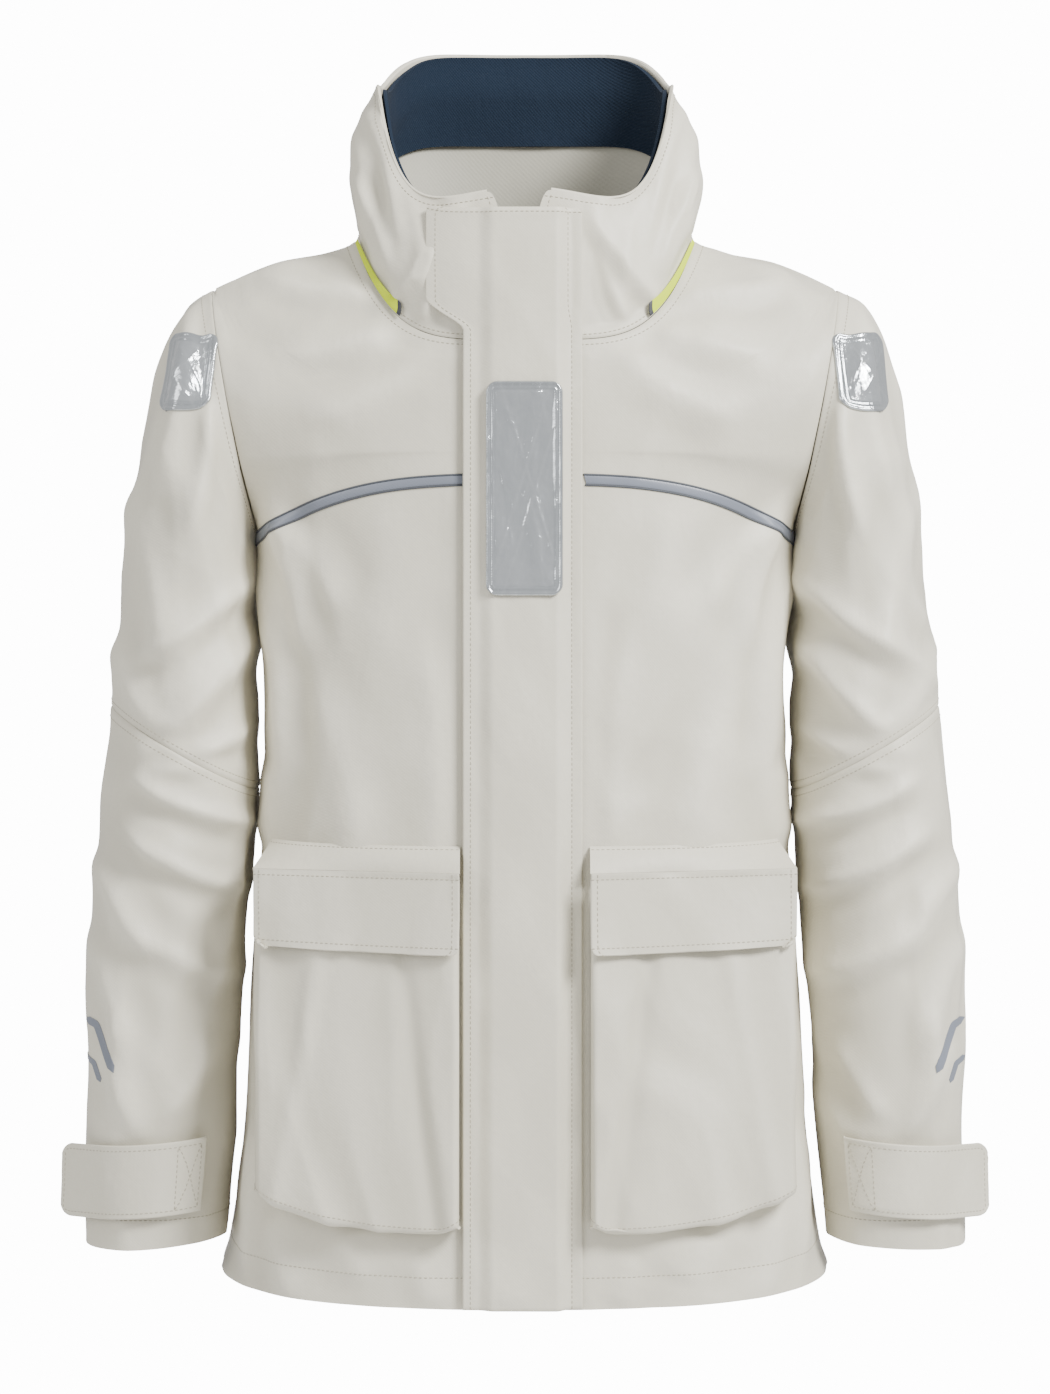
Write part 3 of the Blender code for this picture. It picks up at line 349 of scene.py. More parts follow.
def placed(piece, body_name, nodes):
    """Says which body a piece rides on, which CAD nodes it stands for."""
    if body_name:
        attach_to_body(piece, body_name)
    if nodes:
        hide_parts(*nodes)
    return piece


def rim_quads(rows, columns, wrap):
    """Quads that join the edges of a grid to the edges of its copy behind it."""
    behind = rows * columns
    ids = np.arange(behind).reshape(rows, columns)
    lines = [(ids[:, 0], True), (ids[:, -1], False)]
    if not wrap:
        lines += [(ids[0], False), (ids[-1], True)]
    quads = []
    for line, turned in lines:
        a, b = (line, np.roll(line, -1)) if wrap else (line[:-1], line[1:])
        quad = np.stack([b, a, a + behind, b + behind], -1)
        quads.append(quad if turned else quad[:, ::-1])
    return np.concatenate(quads)


def cloth(name, points, finish, body_name, thick=CLOTH, wrap=False, nodes=(),
          shade=None, side=1):
    """A sheet from a grid of points on its outer face, its inner face a thickness along the normals."""
    normal = normals_of(points, wrap)
    rows, columns = points.shape[:2]
    face = grid_quads(rows, columns, wrap)
    quads = np.concatenate([face, face[:, ::-1] + rows * columns, rim_quads(rows, columns, wrap)])
    both = np.concatenate([points.reshape(-1, 3), (points - normal * thick).reshape(-1, 3)])
    if side < 0:
        both = mirrored(both, -1)
        quads = quads[:, ::-1]
    tone = None if shade is None else np.concatenate([shade.ravel(), shade.ravel()])
    return placed(make(name, both, quads, finish, tone), body_name, nodes)


def tube(name, path, radius, finish, body_name, sides):
    """Circles of one radius carried along a path, with domed ends."""
    along = np.gradient(path, axis=0)
    along /= np.linalg.norm(along, axis=1, keepdims=True)
    wide = np.cross(along, (0, 1, 0))
    wide /= np.linalg.norm(wide, axis=1, keepdims=True)
    tall = np.cross(wide, along)
    cap = np.array([0.02, 0.5, 0.87])
    rise = radius * np.sqrt(1 - np.array([0.0, 0.5, 0.87]) ** 2)[:, None]
    path = np.concatenate([path[0] - along[0] * rise, path, path[-1] + along[-1] * rise[::-1]])
    widths = radius * np.concatenate([cap, np.ones(len(along)), cap[::-1]])[None, :, None]
    wide, tall = (np.concatenate([np.repeat(way[:1], 3, 0), way, np.repeat(way[-1:], 3, 0)])
                  for way in (wide, tall))
    turn = np.arange(sides)[:, None, None] * 2 * np.pi / sides
    points = path + widths * (np.cos(turn) * wide + np.sin(turn) * tall)
    piece = make(name, points, grid_quads(sides, len(path), True), finish)
    close_ends(piece)
    placed(piece, body_name, ())


def close_ends(piece):
    """Fills the open rings of a tube and turns every face out."""
    shape = bmesh.new()
    shape.from_mesh(piece.data)
    bmesh.ops.holes_fill(shape, edges=[e for e in shape.edges if e.is_boundary], sides=0)
    bmesh.ops.recalc_face_normals(shape, faces=shape.faces)
    shape.to_mesh(piece.data)
    shape.free()


def stitches(name, lines, body_name):
    """Short threads with four sides and drawn-in ends, laid along lines of (points, normals)."""
    parts, quads = [], []
    ends = np.array([-0.5, -0.3, 0.3, 0.5])
    fat = np.array([0.3, 1.0, 1.0, 0.3])
    turn = np.arange(4) * np.pi / 2
    i, j = np.arange(3)[:, None] * 4, np.arange(4)[None]
    beside = (j + 1) % 4
    wall = np.stack([i + j, i + beside, i + 4 + beside, i + 4 + j], -1).reshape(-1, 4)
    one = np.concatenate([wall, [[3, 2, 1, 0], [12, 13, 14, 15]]])
    base = 0
    for points, normals in lines:
        points, normals = np.asarray(points), np.asarray(normals)
        run = np.concatenate([[0], np.cumsum(np.linalg.norm(np.diff(points, axis=0), axis=1))])
        count = int(run[-1] / (STITCH + STITCH_GAP))
        if count < 2:
            continue
        at = (np.arange(count) + 0.5) * run[-1] / count
        middle, ahead = (np.stack([np.interp(at + shift, run, points[:, k]) for k in range(3)], -1)
                         for shift in (0, STITCH * 0.3))
        along = ahead - middle
        along /= np.maximum(np.linalg.norm(along, axis=1, keepdims=True), 1e-9)
        out = np.stack([np.interp(at, run, normals[:, k]) for k in range(3)], -1)
        out /= np.linalg.norm(out, axis=1, keepdims=True)
        wide = np.cross(out, along)
        around = STITCH_RADIUS * fat[None, :, None, None] * (
            np.cos(turn)[None, None, :, None] * wide[:, None, None]
            + np.sin(turn)[None, None, :, None] * out[:, None, None])
        centre = middle[:, None, None] + along[:, None, None] * STITCH * ends[None, :, None, None]
        parts.append((centre + around).reshape(-1, 3))
        quads.append((np.arange(count)[:, None, None] * 16 + base + one[None]).reshape(-1, 4))
        base += count * 16
    piece = make(name, np.concatenate(parts), np.concatenate(quads), SHELL_THREAD)
    return placed(piece, body_name, ())


# ---------------------------------------------------------------- folds

# A crease is a soft ridge along a line seen from the front: x, z of its ends, width, height.
FRONT_CREASES = [
    (0.105, -0.072, 0.190, -0.062, 0.010, 0.0030), (0.100, -0.100, 0.175, -0.118, 0.013, 0.0030),
    (0.085, -0.130, 0.150, -0.165, 0.016, 0.0022), (0.185, -0.235, 0.165, -0.330, 0.011, 0.0045),
    (0.196, -0.270, 0.178, -0.420, 0.010, 0.0050), (0.175, -0.245, 0.140, -0.300, 0.014, 0.0030),
    (0.155, -0.360, 0.120, -0.480, 0.020, 0.0025), (0.070, -0.330, 0.062, -0.480, 0.018, 0.0018),
    (0.100, -0.230, 0.110, -0.330, 0.026, 0.0018), (0.190, -0.430, 0.200, -0.480, 0.012, 0.0030),
    (0.120, -0.800, 0.135, -0.770, 0.016, 0.0020), (0.180, -0.815, 0.190, -0.760, 0.014, 0.0030),
    (0.070, -0.815, 0.080, -0.785, 0.014, 0.0018), (0.215, -0.800, 0.206, -0.700, 0.010, 0.0035),
]
BACK_CREASES = [
    (0.020, -0.210, 0.030, -0.500, 0.022, 0.0035), (0.110, -0.215, 0.085, -0.480, 0.020, 0.0045),
    (0.170, -0.260, 0.150, -0.520, 0.016, 0.0050), (0.060, -0.420, 0.095, -0.780, 0.028, 0.0040),
    (0.150, -0.500, 0.180, -0.800, 0.024, 0.0045), (0.060, -0.060, 0.150, -0.110, 0.016, 0.0030),
    (0.012, -0.560, -0.010, -0.800, 0.024, 0.0030), (0.175, -0.235, 0.120, -0.200, 0.014, 0.0030),
]
COLLAR_CREASES = [
    (0.128, 0.075, 0.118, -0.020, 0.008, 0.0030), (0.118, 0.080, 0.088, -0.035, 0.009, 0.0036),
    (0.085, 0.010, 0.070, -0.070, 0.010, 0.0030), (0.050, -0.020, 0.095, -0.075, 0.008, 0.0030),
    (0.125, 0.020, 0.100, -0.045, 0.007, 0.0028), (0.055, -0.045, 0.075, -0.090, 0.007, 0.0022),
]
SLEEVE_CREASES = [
    (0.210, -0.290, 0.285, -0.345, 0.010, 0.0045), (0.207, -0.335, 0.280, -0.410, 0.011, 0.0045),
    (0.250, -0.100, 0.275, -0.230, 0.010, 0.0028), (0.232, -0.150, 0.245, -0.240, 0.009, 0.0035),
    (0.300, -0.215, 0.265, -0.330, 0.014, 0.0030), (0.315, -0.330, 0.285, -0.400, 0.012, 0.0028),
    (0.212, -0.400, 0.270, -0.428, 0.008, 0.0030), (0.215, -0.470, 0.290, -0.440, 0.010, 0.0045),
    (0.222, -0.520, 0.300, -0.480, 0.010, 0.0045), (0.328, -0.500, 0.285, -0.560, 0.012, 0.0040),
    (0.226, -0.585, 0.290, -0.555, 0.012, 0.0035), (0.330, -0.560, 0.300, -0.640, 0.012, 0.0035),
    (0.236, -0.640, 0.270, -0.690, 0.012, 0.0030), (0.322, -0.640, 0.290, -0.700, 0.012, 0.0025),
    (0.305, -0.690, 0.310, -0.615, 0.010, 0.0020),
]


CREASE_STRENGTH = 1.7
FOLD_TONE = 0.006
FOLD_DEPTH, FOLD_HEIGHT = -0.0032, 0.009


def creased(points, creases, strength):
    """Height of the creases at each point: along each line a bell across, faded at its ends."""
    x, z = np.abs(points[..., 0]), points[..., 2]
    height = np.zeros(x.shape)
    for x0, z0, x1, z1, width, tall in creases:
        run = np.hypot(x1 - x0, z1 - z0)
        ux, uz = (x1 - x0) / run, (z1 - z0) / run
        t = ((x - x0) * ux + (z - z0) * uz) / run
        d = (x - x0) * uz - (z - z0) * ux + 0.15 * run * (t - 0.5) ** 2
        fade = ease((t + 0.25) / 0.45) * ease((1.25 - t) / 0.45)
        ridge = 1 / (1 + (1.25 * d / width) ** 2) - 0.5 * hump((d - 1.6 * width) / width)
        height += tall * strength * fade * ridge
    return height


def ripple(points, seed, amount):
    """Unevenness of cloth: broad sine waves, and narrower ridges with sharp crests, bent by the
    broad ones and present only where a slow wave lets them through."""
    rng = np.random.default_rng(seed)

    def wave(size, bend=0.0):
        way = rng.normal(size=3)
        way = way / np.linalg.norm(way) * (1, 1, 0.6)
        return np.sin(points @ way * 2 * np.pi / size + rng.uniform(0, 6.28) + bend)

    broad = wave(0.19) + wave(0.14) + 0.7 * wave(0.10)
    height = 0.45 * broad
    for size in (0.105, 0.080, 0.060, 0.046, 0.034):
        for _ in range(2):
            crest = 1 - 2 * np.sqrt(wave(size * 2, 0.9 * broad) ** 2 + 0.012)
            mask = ease(0.35 + 0.6 * wave(0.21))
            height = height + 10 * size * crest * mask
    return height * amount / 1.6


def draped(points, creases, seed, hold):
    """The grid moved along its normals by creases and ripples. Returns it and the painted light and shade of
    its folds.
    """
    height = (creased(points, creases, CREASE_STRENGTH) + ripple(points, seed, 0.0016)) * hold
    height = np.clip(height, FOLD_DEPTH, FOLD_HEIGHT)
    return points + normals_of(points) * height[..., None], fold_painted_shading(height)


def fold_painted_shading(height):
    """Painted highlight on a fold's crest and painted shade in its hollow."""
    return np.clip(0.5 + height / FOLD_TONE, 0, 1)


def seam_painted_shade(tone, sewn):
    """Painted shade close to a seam, where the cloth rolls in."""
    return np.clip(tone - 0.35 * (1 - np.clip(sewn / 0.004, 0, 1)), 0, 1)


def hem_painted_shading(swell, from_edge, width=0.0011):
    """Painted highlight on a flap's swells, and painted shade where its hem turns over."""
    return np.clip(0.55 + swell / 0.004 - 0.3 * (from_edge < width), 0, 1)


# ---------------------------------------------------------------- materials


def effect(name, inputs, outputs):
    """A shared node group with its sockets: (name, type, default) in, (name, type) out."""
    group = bpy.data.node_groups.new(name, "ShaderNodeTree")
    for socket, kind, value in inputs:
        made = group.interface.new_socket(socket, in_out="INPUT", socket_type=kind)
        if value is not None:
            made.default_value = value
    for socket, kind in outputs:
        group.interface.new_socket(socket, in_out="OUTPUT", socket_type=kind)
    return group, group.nodes.new("NodeGroupInput"), group.nodes.new("NodeGroupOutput")


def node(tree, kind, values=None, **settings):
    """A node with its settings; values are constants for its sockets or the sockets that feed them."""
    made = tree.nodes.new(kind)
    for key, value in settings.items():
        setattr(made, key, value)
    for key, value in (values or {}).items():
        if isinstance(value, bpy.types.NodeSocket):
            tree.links.new(value, made.inputs[key])
        else:
            made.inputs[key].default_value = value
    return made


def sums(tree, operation, a, b=0.0, c=0.0):
    return node(tree, "ShaderNodeMath", {0: a, 1: b, 2: c}, operation=operation).outputs[0]


def noise(tree, place, scale, detail):
    return node(tree, "ShaderNodeTexNoise", {"Vector": place, "Scale": scale, "Detail": detail}).outputs[0]


def weave_effect():
    """Threads over and under: two crossed sine waves, turned with the cloth, as a bump."""
    group, given, result = effect(
        "Woven threads",
        [("Vector", "NodeSocketVector", None), ("Threads", "NodeSocketFloat", 900.0),
         ("Depth", "NodeSocketFloat", 0.2), ("Normal", "NodeSocketVector", None)],
        [("Normal", "NodeSocketVector"), ("Height", "NodeSocketFloat")])
    parts = node(group, "ShaderNodeSeparateXYZ", {0: given.outputs["Vector"]}).outputs
    across = sums(group, "MULTIPLY_ADD", parts[1], 0.8, parts[0])
    rate = given.outputs["Threads"]
    warp = sums(group, "SINE", sums(group, "MULTIPLY", across, rate))
    weft = sums(group, "SINE", sums(group, "MULTIPLY", parts[2], rate))
    height = sums(group, "MULTIPLY", warp, weft)
    height = sums(group, "MULTIPLY_ADD", height, 0.5, noise(group, given.outputs["Vector"], 420.0, 3.0))
    bump = node(group, "ShaderNodeBump", {"Strength": given.outputs["Depth"], "Distance": 0.0004,
                                          "Height": height, "Normal": given.outputs["Normal"]})
    group.links.new(bump.outputs[0], result.inputs["Normal"])
    group.links.new(height, result.inputs["Height"])
    return group


def wrinkle_effect():
    """Small puckers of a coated cloth, stronger where the Pull mask is high, as a bump."""
    group, given, result = effect(
        "Puckers",
        [("Vector", "NodeSocketVector", None), ("Size", "NodeSocketFloat", 38.0),
         ("Depth", "NodeSocketFloat", 0.3), ("Pull", "NodeSocketFloat", 0.5)],
        [("Normal", "NodeSocketVector"), ("Height", "NodeSocketFloat")])
    stretch = node(group, "ShaderNodeMapping", {"Vector": given.outputs["Vector"], "Scale": (1.0, 1.0, 0.45),
                                                "Rotation": (0.0, 0.35, 0.0)}, vector_type="POINT")
    wide = node(group, "ShaderNodeTexNoise", {"Vector": stretch.outputs[0], "Scale": given.outputs["Size"],
                                              "Detail": 3.0, "Roughness": 0.45, "Distortion": 0.6})
    fine = noise(group, given.outputs["Vector"], 130.0, 2.0)
    height = sums(group, "MULTIPLY_ADD", fine, 0.18, wide.outputs[0])
    strength = sums(group, "MULTIPLY", given.outputs["Depth"],
                    sums(group, "MULTIPLY_ADD", given.outputs["Pull"], 0.8, 0.5))
    bump = node(group, "ShaderNodeBump", {"Strength": strength, "Distance": 0.0035, "Height": height})
    group.links.new(bump.outputs[0], result.inputs["Normal"])
    group.links.new(height, result.inputs["Height"])
    return group


def tone_and_shade_effect():
    """Uneven tone and painted shade: broad patches and fine specks, with painted shade in the hollows of the
    creases, as a mask.
    """
    group, given, result = effect(
        "Uneven tone and painted shade",
        [("Vector", "NodeSocketVector", None), ("Painted shading", "NodeSocketFloat", 0.5),
         ("Amount", "NodeSocketFloat", 0.5)],
        [("Mask", "NodeSocketFloat")])
    patches, specks = (noise(group, given.outputs["Vector"], *size) for size in ((7.0, 4.0), (260.0, 2.0)))
    mixed = sums(group, "MULTIPLY_ADD", specks, 0.35, patches)
    # Painted shade: where the crease attribute is low, in the hollows of the folds, the mask goes darker.
    hollow = sums(group, "SUBTRACT", 0.85, given.outputs["Painted shading"])
    mixed = sums(group, "MULTIPLY_ADD", hollow, 0.9, mixed)
    spread = node(group, "ShaderNodeMapRange", {"Value": mixed, "From Min": 0.35, "From Max": 1.35})
    mask = sums(group, "MULTIPLY", spread.outputs[0], given.outputs["Amount"])
    group.links.new(mask, result.inputs["Mask"])
    return group


WEAVE, PUCKER, TONE_AND_SHADE = weave_effect(), wrinkle_effect(), tone_and_shade_effect()


def linear(*rgb):
    """A display colour of 0 to 255 as scene light."""
    c = np.array(rgb) / 255
    return (*np.where(c <= 0.04045, c / 12.92, ((c + 0.055) / 1.055) ** 2.4), 1.0)


def fabric(name, colour, hollow, rough=0.6, threads=2600.0, weave=0.12, pucker=0.25, size=38.0, uneven=0.5,
           sheen=0.0, coat=0.0, glow=0.0, metal=0.0):
    """Cloth or film: its colour goes towards a darker hollow colour by the tone mask, which holds random
    patches and the painted light and shade of the crease attribute; puckers under the weave. Glow is painted
    light: the cloth emits its own colour.
    """
    made = bpy.data.materials.new(name)
    made.use_nodes = True
    tree = made.node_tree
    shader = tree.nodes["Principled BSDF"]
    place = node(tree, "ShaderNodeTexCoord").outputs["Object"]
    # The crease attribute holds each piece's painted light and shade, mixed into its colour.
    crease = node(tree, "ShaderNodeAttribute", attribute_name="crease").outputs["Fac"]
    tone = node(tree, "ShaderNodeGroup", node_tree=TONE_AND_SHADE)
    folds = node(tree, "ShaderNodeGroup", node_tree=PUCKER)
    threads_at = node(tree, "ShaderNodeGroup", node_tree=WEAVE)
    for group in (tone, folds, threads_at):
        tree.links.new(place, group.inputs["Vector"])
    tree.links.new(crease, tone.inputs["Painted shading"])
    tree.links.new(crease, folds.inputs["Pull"])
    tree.links.new(folds.outputs["Normal"], threads_at.inputs["Normal"])
    tone.inputs["Amount"].default_value = uneven
    folds.inputs["Depth"].default_value = pucker
    folds.inputs["Size"].default_value = size
    threads_at.inputs["Threads"].default_value = threads
    threads_at.inputs["Depth"].default_value = weave
    factor, first, second, result = 0, 6, 7, 2
    mix = node(tree, "ShaderNodeMix", {factor: tone.outputs["Mask"]}, data_type="RGBA")
    mix.inputs[first].default_value = colour
    mix.inputs[second].default_value = hollow
    mixed = mix.outputs[result]
    rougher = sums(tree, "MULTIPLY_ADD", threads_at.outputs["Height"], 0.10, rough - 0.05)
    tree.links.new(mixed, shader.inputs["Base Color"])
    tree.links.new(rougher, shader.inputs["Roughness"])
    tree.links.new(threads_at.outputs["Normal"], shader.inputs["Normal"])
    shader.inputs["Sheen Weight"].default_value = sheen
    shader.inputs["Coat Weight"].default_value = coat
    shader.inputs["Metallic"].default_value = metal
    if glow:
        tree.links.new(mixed, shader.inputs["Emission Color"])
        shader.inputs["Emission Strength"].default_value = glow
    return made


SHELL = fabric("Outer cloth", linear(221, 216, 199), linear(186, 181, 163), rough=0.52, sheen=0.05,
               pucker=0.45, size=26.0)
SHELL_THREAD = fabric("Outer thread", linear(186, 180, 162), linear(160, 154, 136), pucker=0.0, uneven=0.6)
LINING = fabric("Lining", linear(188, 185, 170), linear(158, 155, 140), threads=1600.0, weave=0.2)
FLEECE = fabric("Navy fleece", linear(0, 27, 50), linear(0, 15, 31), rough=0.95, threads=2400.0, weave=0.8,
                pucker=0.35, size=120.0)
# The neon flash has a slight painted glow: it emits light of its own colour.
FLASH = fabric("Neon flash", (0.60, 0.74, 0.0, 1.0), (0.48, 0.60, 0.0, 1.0), rough=0.8, pucker=0.15,
               glow=0.05)
FLASH_END = fabric("Flash end", linear(60, 62, 66), linear(30, 32, 36), pucker=0.1)
FILM = fabric("Silver film", linear(192, 196, 199), linear(140, 146, 150), rough=0.16, threads=3400.0,
              weave=0.15, pucker=0.85, size=52.0, coat=0.6, metal=0.75)
TRIM = fabric("Reflective trim", linear(128, 133, 144), linear(104, 109, 120), rough=0.4, pucker=0.1)
DARK_CORD = fabric("Dark cord", linear(84, 88, 94), linear(58, 61, 67), pucker=0.0, weave=0.4, threads=3600.0)
CUFF_INSIDE = fabric("Cuff lining", linear(96, 95, 88), linear(52, 51, 47), rough=0.85, threads=1500.0,
                     weave=0.5)
HOOKS = fabric("Hook tape", linear(190, 186, 172), linear(150, 146, 134), rough=0.9, threads=2200.0,
               weave=1.0)
PLASTIC = fabric("Zip plastic", linear(192, 189, 176), linear(160, 156, 144), rough=0.4, pucker=0.0,
                 weave=0.05)
METAL = fabric("Zip metal", linear(176, 178, 180), linear(120, 122, 124), rough=0.3, pucker=0.0, weave=0.05,
               metal=1.0)

# ---------------------------------------------------------------- body and collar

SIDES = (("left", 1), ("right", -1))
FRONT_HALF = 0.0100
ROLL = 0.0006
SEAM_WIDTH = 0.0030
SEAM_SPLIT = 0.008
SEAM_HOLD = 0.020
SEAM_STITCH = 0.006
HEM_STITCH = 0.027
SEAM_EASE = 0.0003
PANEL_ROWS, PANEL_COLUMNS, BACK_ROWS = 112, 220, 190
COLLAR_ROOM = 0.0091
COLLAR_EDGE = 0.0036
COLLAR_RISE = 0.0120
COLLAR_LOBE = 0.0110
COLLAR_ROUNDED = 0.62
COLLAR_ENDS = (0.0085, 0.0175)


def levels_for(lowest, highest, count, at_ends=0.5):
    """Levels spaced evenly over the garment's surface, closer near both ends."""
    fine = np.linspace(lowest, highest, 2000)
    step = np.hypot(np.hypot(np.gradient(smooth(FRONT_Z, fine)), np.gradient(smooth(SIDE_Z, fine))),
                    np.gradient(smooth(SIDE_X, fine)))
    run = np.cumsum(step) - step[0]
    return np.interp(spaced(count, at_ends) * run[-1], run, fine)


def lifted(angle, level, offset):
    """The garment's surface moved out along its own normal."""
    e = 1e-3
    at = body(angle, level)
    along = body(angle + e, level) - body(angle - e, level)
    n = np.cross(along, body(angle, level + e) - body(angle, level - e))
    return at + n / np.linalg.norm(n, axis=-1, keepdims=True) * np.asarray(offset)[..., None]


def lengths(points, axis):
    """Distance run along each line of a grid."""
    step = np.linalg.norm(np.diff(points, axis=axis), axis=-1)
    pad = [(0, 0), (0, 0)]
    pad[axis] = (1, 0)
    return np.pad(np.cumsum(step, axis=axis), pad)


def edge_distances(points):
    """Distance of each grid point from its four edges: first and last row, first and last column."""
    down, across = lengths(points, 0), lengths(points, 1)
    return down, down[-1:] - down, across, across[:, -1:] - across


def rolled(points, distance, depth=ROLL, width=SEAM_WIDTH, wrap=False):
    """Turns the cloth down into a seam at its edges, or over its free edge as a folded hem does."""
    return points - normals_of(points, wrap) * (depth * round_off(distance, width))[..., None]


def panel(name, angles, levels, creases, seed, side, nodes, free_edges):
    """A body panel with folds that die out into its seams, and seams that roll in."""
    points = body(angles, levels)
    sewn = np.min([edge + 0 * points[..., 0] for k, edge in enumerate(edge_distances(points))
                   if k not in free_edges], axis=0)
    hold = ease(sewn / SEAM_HOLD)
    under_flap = ease((np.abs(points[..., 0]) - 0.046) / 0.020) if creases is FRONT_CREASES else 1.0
    points, tone = draped(points, creases, seed, hold * under_flap)
    points = rolled(points, sewn)
    cloth(name, points, SHELL, "shell", nodes=nodes, shade=seam_painted_shade(tone, sewn), side=side)
    return points


def line_on(points, row=None, column=None, side=1):
    """A row or column of a grid as a line for stitches, with its normals."""
    normal = normals_of(points)
    line, out = (points[row], normal[row]) if row is not None else (points[:, column], normal[:, column])
    return mirrored(line, side), mirrored(out, side)


def near(distance, target):
    """Index of the value nearest a distance."""
    return int(np.argmin(np.abs(distance - target)))


thread_lines = []
front_levels = levels_for(HEM, NECK - SEAM_SPLIT, PANEL_COLUMNS)
front_grids = {}
for side_name, side in SIDES:
    start = -angle_at_x(FRONT_HALF, front_levels)
    stop = -side_limit(front_levels, False, SEAM_EASE)
    turns = start + (stop - start) * spaced(PANEL_ROWS)[:, None]
    nodes = f"front_panel_{side_name}", f"yoke_{side_name}"
    front_points = panel(f"front_cloth_{side_name}", turns, front_levels + 0 * turns, FRONT_CREASES,
                         11 if side > 0 else 12, side, nodes, (0, 2))
    front_grids[side_name] = front_points
    hem_row = near(front_points[60, :, 2], HEM_Z + HEM_STITCH)
    thread_lines.append(line_on(front_points, column=hem_row, side=side))
    under_seam = near(lengths(front_points, 1)[60, -1] - lengths(front_points, 1)[60], SEAM_STITCH)
    thread_lines.append(line_on(front_points, column=under_seam, side=side))

back_levels = levels_for(HEM, NECK - SEAM_SPLIT, PANEL_COLUMNS)
limit = side_limit(back_levels, True, SEAM_EASE)
turns = limit + (np.pi - 2 * limit) * spaced(BACK_ROWS)[:, None]
back_points = panel("back_cloth", turns, back_levels + 0 * turns, BACK_CREASES, 13, 1,
                    ("back_panel", "back_yoke"), (2,))
back_middle = back_points[BACK_ROWS // 2, :, 2]
for height in (HEM_Z + HEM_STITCH, -0.172, -0.178):
    thread_lines.append(line_on(back_points, column=near(back_middle, height)))


def collar_end(level, middle):
    """The collar's front ends round off towards the free edge."""
    return middle + COLLAR_LOBE * round_off(EDGE - level, COLLAR_ROUNDED)


def front_rise(points, level):
    """The collar's front ends stand up above the storm flap's top."""
    ahead = ease((MID_Y - points[..., 1]) / 0.05)
    return COLLAR_RISE * hump(points[..., 0] / 0.058) * ahead * ease((level - NECK - 0.8) / 1.2)


def collar_profile():
    """Level and offset up the collar's outside, over its edge in a half round and down inside."""
    outside = levels_for(NECK + SEAM_SPLIT, EDGE, 90, 0.3)
    over = np.linspace(0, np.pi, 18)[1:]
    inward = np.linspace(0, 1, 8)[1:]
    level = np.concatenate([outside, np.full(17, float(EDGE)), EDGE - 0.06 * inward])
    offset = np.concatenate([0 * outside, -COLLAR_EDGE / 2 * (1 - np.cos(over)), np.full(7, -COLLAR_EDGE)])
    climb = np.concatenate([0 * outside, COLLAR_EDGE / 2 * np.sin(over), 0 * inward])
    return level, offset, climb


def collar_turns(level, inset, shares):
    """Angles round the collar at each level, from one front end by the back to the other."""
    first, last = (angle_at_x(collar_end(level, middle) + inset, level) for middle in COLLAR_ENDS)
    return -first + (np.pi + first + last) * shares[:, None]


level, offset, climb = collar_profile()
turns = collar_turns(level, 0, spaced(240, 0.6))
collar_points = lifted(turns, level + 0 * turns, offset + 0 * turns)
collar_points[..., 2] += climb + front_rise(collar_points, level)
neck_edge = edge_distances(collar_points)[2]
behind = collar_points[..., 1] > MID_Y
creases = creased(collar_points, COLLAR_CREASES, 1.6) * (collar_points[..., 1] < MID_Y + 0.03)
around = (ripple(collar_points, 21, 0.0018) + creases) * ease(neck_edge / 0.012) * (np.abs(offset) < 1e-6)
around = np.clip(around, -0.0030, 0.007) * ease((np.abs(collar_points[..., 0]) - 0.035) / 0.015 + behind)
collar_points = collar_points + normals_of(collar_points) * around[..., None]
collar_points = rolled(collar_points, neck_edge)
# Painted light and shade: lighter on the collar's folds and swells, darker in their hollows and along the
# neck seam.
cloth("collar_cloth", collar_points, SHELL, "shell", nodes=("collar_shell",),
      shade=np.clip(0.6 + around / 0.003 - 0.5 * (neck_edge < 0.004), 0, 1))
collar_middle = len(collar_points) // 2 - 10
for distance in (neck_edge[collar_middle, 89] - 0.0065, 0.005):
    thread_lines.append(line_on(collar_points, column=near(neck_edge[collar_middle], distance)))
row = near(lengths(collar_points, 0)[:, 40], SEAM_STITCH)
for end_row in (row, -1 - row):
    thread_lines.append(tuple(line[4:86] for line in line_on(collar_points, row=end_row)))

FLEECE_LEVELS = levels_for(FOLD - 0.05, EDGE - 0.010, 70, 0.3)
turns = collar_turns(FLEECE_LEVELS, 0.003, spaced(220, 0.3))
fleece_in = COLLAR_EDGE + 0.0014 + (COLLAR_ROOM - COLLAR_EDGE) * ease((EDGE - FLEECE_LEVELS) / 0.5)
fleece_points = lifted(turns, FLEECE_LEVELS + 0 * turns, -fleece_in + 0 * turns)
fleece_points[..., 2] += front_rise(fleece_points, FLEECE_LEVELS)
pile = ripple(fleece_points, 22, 0.0009) - 0.0009
fleece_points = fleece_points + normals_of(fleece_points) * pile[..., None]
cloth("fleece_lining", fleece_points, FLEECE, "shell", thick=0.0030, nodes=("collar_lining",))

FACING_LEVELS = levels_for(NECK + 0.03, FOLD + 0.05, 40, 0.3)
end = angle_at_x(FRONT_HALF + 0.003, FACING_LEVELS)
turns = -end + (np.pi + 2 * end) * spaced(160, 0.3)[:, None]
facing_points = lifted(turns, FACING_LEVELS + 0 * turns, -COLLAR_ROOM - 0.0006 + 0 * turns)
cloth("neck_facing", facing_points, LINING, "shell", thick=0.0012, nodes=("collar_facing",))

